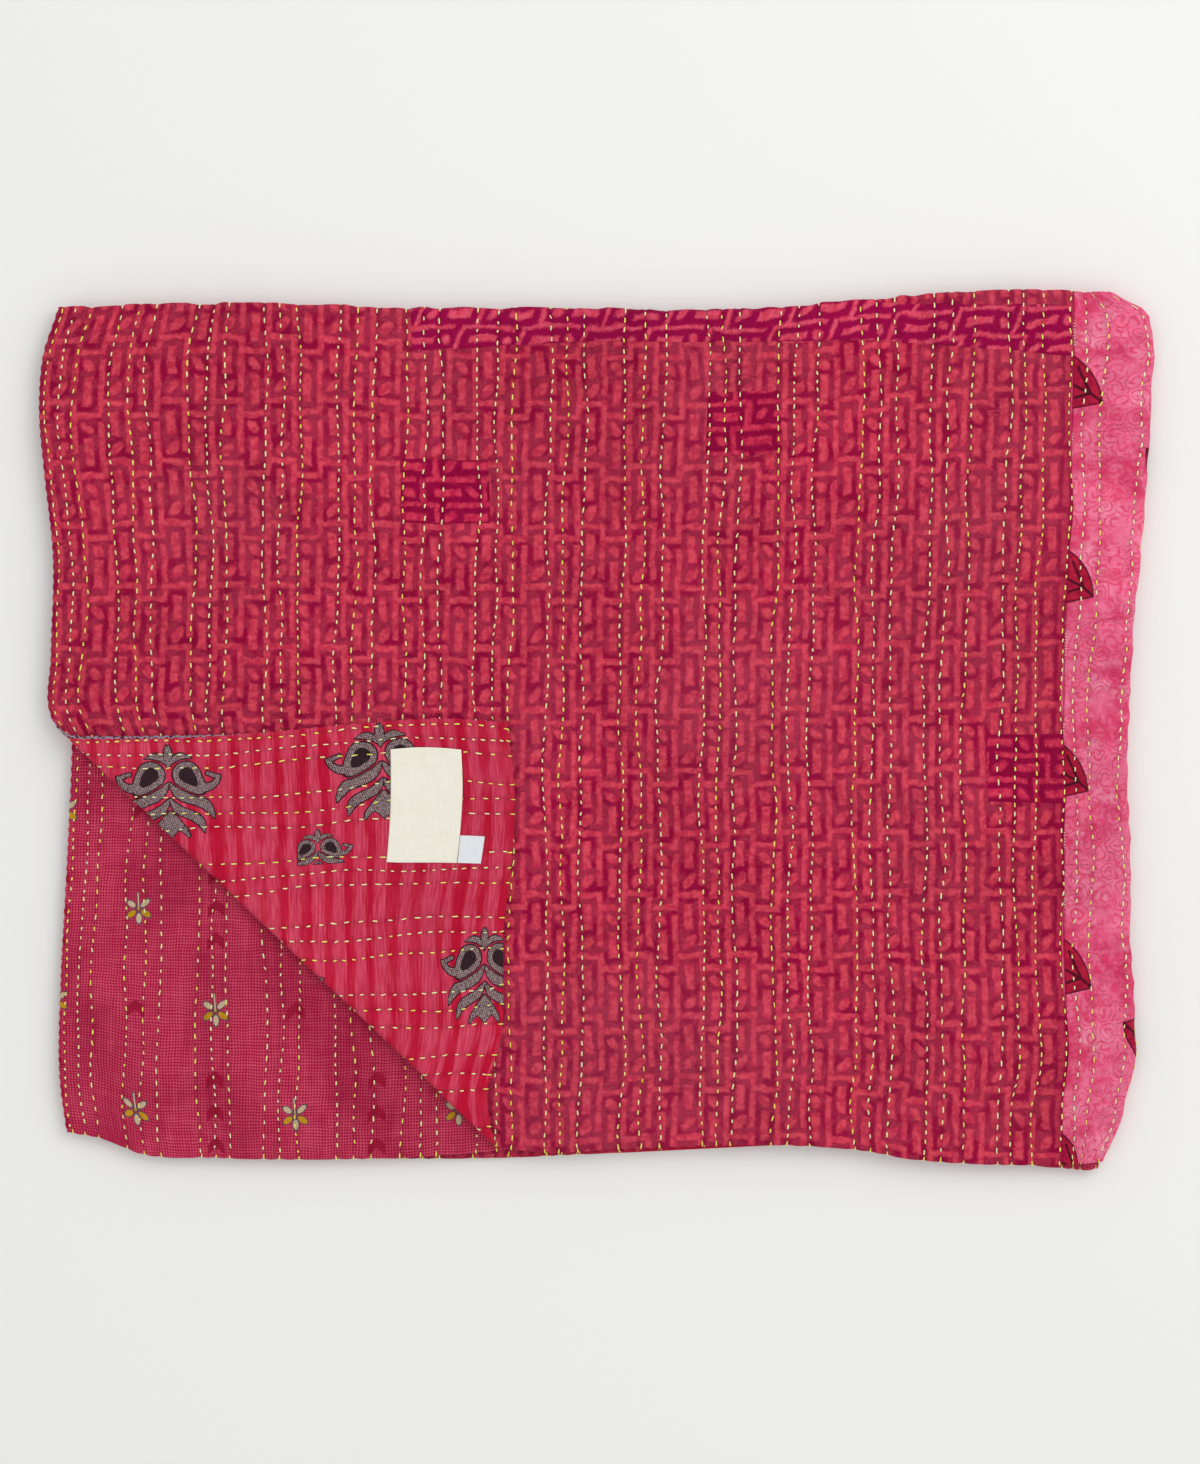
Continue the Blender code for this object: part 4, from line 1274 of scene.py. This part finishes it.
def make_label(label):
    """Lays a label out between its four corners, with a slight buckle and its edges turned under."""
    corners = np.array([unfolded(*corner) for corner in label.corners])
    share = np.array([0, 0.012, 0.03, *np.linspace(0, 1, 21)[1:-1], 0.97, 0.988, 1])
    s, t = np.meshgrid(share, share, indexing="ij")
    weights = [(1 - s) * (1 - t), s * (1 - t), s * t, (1 - s) * t]
    u, v = (sum(weight * corner for weight, corner in zip(weights, corners[:, axis])) for axis in (0, 1))
    buckle = LABEL_BUCKLE * np.sin(math.pi * s) * np.sin(math.pi * t) * (1 + drift(u, v, 0.012, 31))
    turned_edge = LABEL_TURN * np.exp(-((np.minimum.reduce([s, 1 - s, t, 1 - t]) / 0.05) ** 2))
    face = -(LAYER / 2 + LABEL_UNDER + buckle)
    return lay_cloth(label.name, u, v, face, face - LABEL_THICK - turned_edge, 0.35)


def weave_label(name, colour, deep, sheen, pitch):
    """Plain tape: fine crossing threads and a soft shine."""
    material, finish, at = start_material(name, sheen, "Sheet")
    weave = use_group(weave_group, Place=at, Pitch=pitch)
    soiled = blend(rise(cloud(at, 60.0, 3.0), 0.35, 0.75) * 0.5, colour, deep)
    # The weave's Thread tone carries painted shade, lighter where threads stand up and darker between them.
    toned = shade(soiled, (weave["Thread"] - 0.5) * 0.30 + 1.0)
    finish_material(finish, toned, 0.62 + weave["Thread"] * 0.3, weave["Height"] * WEAVE_HEIGHT)
    return material


label_finishes = {
    "label_cotton": weave_label("unbleached_tape", UNBLEACHED, UNBLEACHED_DEEP, 0.2, 0.0007),
    "care_label_satin": weave_label("white_tape", WHITE, WHITE_DEEP, 0.5, 0.0005),
}
for label in LABELS:
    piece = make_label(label)
    piece.data.materials.append(label_finishes[label.slot])
    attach(piece, "root")
    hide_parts(label.replaced)
    near_left, near_right, _, far_left = label.corners
    flat = (math.dist(near_left, near_right), math.dist(near_left, far_left))

# The quilting. Rows of running stitch in soft yellow cotton thread, some lengths brighter than others. Each
# stitch lies along the bottom of its row and dives through the cloth at both ends. At the near and far hems
# each row's thread is carried round, and shows there as a small bright turn.

THREAD_HALF_WIDTH = 0.00048
THREAD_HALF_HEIGHT = 0.00034
STITCH_RISE = 0.00030  # how far a stitch's middle stands off the cloth it pulls down
STITCH_DIVE = 0.00055
STITCH_SHARE = 0.56  # the part of each stitch's length that shows on the front
FLAP_SHARE = 0.95  # how long the stitches on the back are, beside those in front
CORNER_SHARE = 0.88
ROW_START = 0.004
FLAP_ROWS_END = 0.30
THREAD_PALE = (0.93, 0.95, 0.47, 1)
THREAD_BRIGHT = (0.93, 0.89, 0.13, 1)
TWIST = 0.0009
TURN_STATIONS = 9
TURN_CORNERS = 6
TURN_RADIUS = 0.00042
TURN_LIFT = 0.0002


def stitch_places(row, start, end, behind=False):
    """Where a row's stitches lie, and how long each is. Those behind lie between those in front."""
    v = np.linspace(start, end, 4000)
    count = stitch_count(row, v) + (0.5 if behind else 0.0)
    numbers = np.arange(math.ceil(count[0]), math.floor(count[-1]) + 1)
    rng = np.random.default_rng(int(row * 1e5) + behind)
    middles = np.interp(numbers, count, v) + rng.normal(0, 0.00035, len(numbers))
    lengths = row_pitch(row) * STITCH_SHARE * rng.uniform(0.72, 1.30, len(numbers))
    tilts = rng.normal(0, 0.00022, len(numbers))
    tones = np.clip(0.5 + 0.35 * math.sin(row * 371.0) + rng.normal(0, 0.22, len(numbers)), 0, 1)
    strays = 0.00045 * np.sin(middles / 0.0105 + row * 911.0)
    strays = strays + 0.0003 * np.sin(middles / 0.0230 + row * 517.0)
    return np.stack([row + strays, middles, lengths, tilts, tones], axis=1)


def sew(rows, start, end, behind=False):
    """The stitches of several rows between two distances from the near hem."""
    return np.concatenate([stitch_places(row, start, end, behind) for row in rows])


def past_bend(stitches):
    """How far each stitch lies past the start of the crease's bend, as a share of the bend."""
    return past_crease(*spread_flat(stitches[:, 0], stitches[:, 1])) / CREASE_BEND


def patch_lift(u, v):
    """How much higher the cloth's face lies where a patch covers it."""
    lift = np.zeros(np.shape(u))
    for patch in PATCHES:
        over = (u > patch.left) & (u < patch.right)
        over &= (v > curve_through(patch.near_edge, u)) & (v < curve_through(patch.far_edge, u))
        lift = np.where(over, PATCH_OVER, lift)
    return lift


def join_threads(name, u, v, height, along, around, tone, reverse=False):
    """Joins lengths of thread into one mesh. Each is a row of rings of points, closed at both ends."""
    lengths, stations, corners = height.shape
    x, y = spread_flat(np.broadcast_to(u, height.shape), np.broadcast_to(v, height.shape))
    ring, starts = np.arange(corners), np.arange(stations - 1)[:, None] * corners
    one, two = (starts + ring).ravel(), (starts + (ring + 1) % corners).ravel()
    sides = np.stack([one, two, two + corners, one + corners], axis=1).tolist()
    shell = [*sides, ring[::-1].tolist(), (ring + (stations - 1) * corners).tolist()]
    if reverse:
        shell = [face[::-1] for face in shell]
    firsts = range(0, lengths * stations * corners, stations * corners)
    faces = [[first + n for n in face] for first in firsts for face in shell]
    mesh = bpy.data.meshes.new(name)
    mesh.from_pydata(fold_up(x, y, height).reshape(-1, 3), [], faces)
    along, around, tone = (np.broadcast_to(value, height.shape) for value in (along, around, tone))
    write_map(mesh, "Thread", along, around)
    write_map(mesh, "Tone", tone, tone)
    return mesh


def make_stitches(name, stitches, side, stations=5, corners=5):
    """Many stitches: each a short arched thread with tapered ends."""
    row, middle, length, tilt, tone = (column[:, None, None] for column in stitches.T)
    t = np.linspace(-1, 1, stations)[None, :, None]
    angle = (np.arange(corners) / corners * 2 * math.pi)[None, None, :]
    taper = 0.40 + 0.60 * (1 - np.abs(t) ** 3)
    u = row + tilt * t + THREAD_HALF_WIDTH * taper * np.cos(angle)
    v = middle + length / 2 * t + 0 * angle
    base = half_thickness(row + 0 * v, v)
    if side > 0:
        base = base + patch_lift(row + 0 * v, v)
    height = base + STITCH_RISE * (1 - t**2) - STITCH_DIVE * t**4 + THREAD_HALF_HEIGHT * taper * np.sin(angle)
    return join_threads(name, u, v, side * height, t * length * 0.5, angle, tone, side < 0)


def make_turns(name, far):
    """A short loop of thread round the hem at each row's end, from one face to the other."""
    rows = ROWS[ROWS < SHEET_WIDTH - 0.005]
    lowest, highest = (0.0016, -0.0008, -0.0005), (0.0034, 0.0008, 0.0005)
    draws = np.random.default_rng(7).uniform(lowest, highest, (len(rows), 3))
    reach, shift, lean = draws.T[:, :, None, None]
    t = np.linspace(-1, 1, TURN_STATIONS)[None, :, None]
    angle = (np.arange(TURN_CORNERS) / TURN_CORNERS * 2 * math.pi)[None, None, :]
    inward = reach * np.abs(t) ** 1.4 - 0.0005 * (1 - t**2)
    v = SHEET_LENGTH - inward if far else inward
    u = rows[:, None, None] + shift + lean * t
    face = half_thickness(u, np.clip(v, 0, SHEET_LENGTH)) + TURN_LIFT
    height = np.sin(np.clip(t * 2.2, -math.pi / 2, math.pi / 2)) * face
    ring = TURN_RADIUS * (0.55 + 0.45 * (1 - t**4))
    out = np.cos(t * math.pi / 2) if far else -np.cos(t * math.pi / 2)
    u, v = u + ring * np.cos(angle), v + ring * np.sin(angle) * out
    height = height + ring * np.sin(angle) * np.sin(t * math.pi / 2)
    along = np.arange(len(rows) * TURN_STATIONS).reshape(-1, TURN_STATIONS, 1) * 0.0008
    mesh = join_threads(name, u, v, height, along, 0 * along, 0.9 + 0 * along)
    solid = bmesh.new()
    solid.from_mesh(mesh)
    bmesh.ops.recalc_face_normals(solid, faces=solid.faces)
    solid.to_mesh(mesh)
    solid.free()
    return mesh


def twist_thread():
    """Cotton thread of two plies. Some stitches are brighter, and the plies show as slanting lines of painted
    shade, lighter on each ply and darker between.
    """
    material, finish, on_thread, in_tone = start_material("quilting_thread", 0.15, "Thread", "Tone")
    along, around = parts_of(on_thread)
    plies = step("SINE", along * (CIRCLE / TWIST) + around)
    colour = blend(rise(parts_of(in_tone)[0], 0.45, 0.95), THREAD_PALE, THREAD_BRIGHT)
    # Painted shade: each ply is lighter where it stands up and darker in the groove between plies.
    finish_material(finish, shade(colour, plies * 0.07 + 0.97), 0.62 + plies * 0.06, plies * 0.00006)
    return material


top_rows, under_rows = ROWS[ROWS < TOP_ROWS_END], ROWS[ROWS > 0.70]
flap_rows = top_rows[top_rows < FLAP_ROWS_END]
top_stitches = sew(top_rows, ROW_START, HALF_LENGTH + math.pi * FAR_RADIUS)
top_stitches = top_stitches[past_bend(top_stitches) < 0.7]
flap_stitches = sew(flap_rows, ROW_START, FLAP_REACH[1], True)
flap_stitches = flap_stitches[past_bend(flap_stitches) > 0.3]
flap_stitches[:, 2] *= FLAP_SHARE
corner_stitches = sew(flap_rows, CORNER_REACH, SHEET_LENGTH - ROW_START, True)
corner_stitches[:, 2] *= CORNER_SHARE
under_stitches = sew(under_rows, ROW_START, HALF_LENGTH)
thread = twist_thread()
sewing = [
    make_stitches("top_rows", top_stitches, 1),
    make_stitches("corner_rows", np.concatenate([flap_stitches, corner_stitches]), -1),
    make_stitches("under_rows", under_stitches, 1, stations=3, corners=4),
    make_turns("near_hem_turns", False),
    make_turns("far_hem_turns", True),
]
for mesh in sewing:
    mesh.shade_smooth()
    mesh.materials.append(thread)
    piece = add_object(mesh.name, mesh)
    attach(piece, "root")

# The room. The quilt lies on a wide pale board in even daylight, with one large soft light above its far
# right side. It is seen from straight above.

BOARD_SIZE = 6
BOARD_WHITE = (0.86, 0.86, 0.85, 1)
SKY_WHITE = (1.0, 1.0, 0.985, 1)
SKY_STRENGTH = 0.83
LIGHT_SIZE = 1.7
LIGHT_PLACE = (1.1, 1.0, 1.8)
LIGHT_POWER = 14
CAMERA_HEIGHT = 2.2
VIEW_CENTRE = (0.0020, -0.0019)
VIEW_HEIGHT = 0.937  # what the picture takes in, measured on the quilt's top

bpy.ops.mesh.primitive_plane_add(size=BOARD_SIZE, location=(0, 0, 0))
board = bpy.context.object
board.name = "board"
paint = bpy.data.materials.new("pale_board")
paint.use_nodes = True
paint.node_tree.nodes["Principled BSDF"].inputs["Base Color"].default_value = BOARD_WHITE
paint.node_tree.nodes["Principled BSDF"].inputs["Roughness"].default_value = 0.9
board.data.materials.append(paint)

sky = bpy.data.worlds.new("studio")
bpy.context.scene.world = sky
sky.use_nodes = True
sky.node_tree.nodes["Background"].inputs["Color"].default_value = SKY_WHITE
sky.node_tree.nodes["Background"].inputs["Strength"].default_value = SKY_STRENGTH

lamp = bpy.data.lights.new("soft_box", "AREA")
lamp.shape = "SQUARE"
lamp.size = LIGHT_SIZE
lamp.energy = LIGHT_POWER
soft_box = add_object("soft_box", lamp)
soft_box.location = LIGHT_PLACE
soft_box.rotation_euler = mathutils.Vector(LIGHT_PLACE).to_track_quat("Z", "Y").to_euler()

lens = bpy.data.cameras.new("camera")
lens.sensor_fit = "VERTICAL"
lens.sensor_height = 24
lens.lens = lens.sensor_height * (CAMERA_HEIGHT - STACK) / VIEW_HEIGHT
camera = add_object("camera", lens)
camera.location = (*VIEW_CENTRE, CAMERA_HEIGHT)
bpy.context.scene.camera = camera
bpy.context.scene.view_settings.view_transform = "Standard"
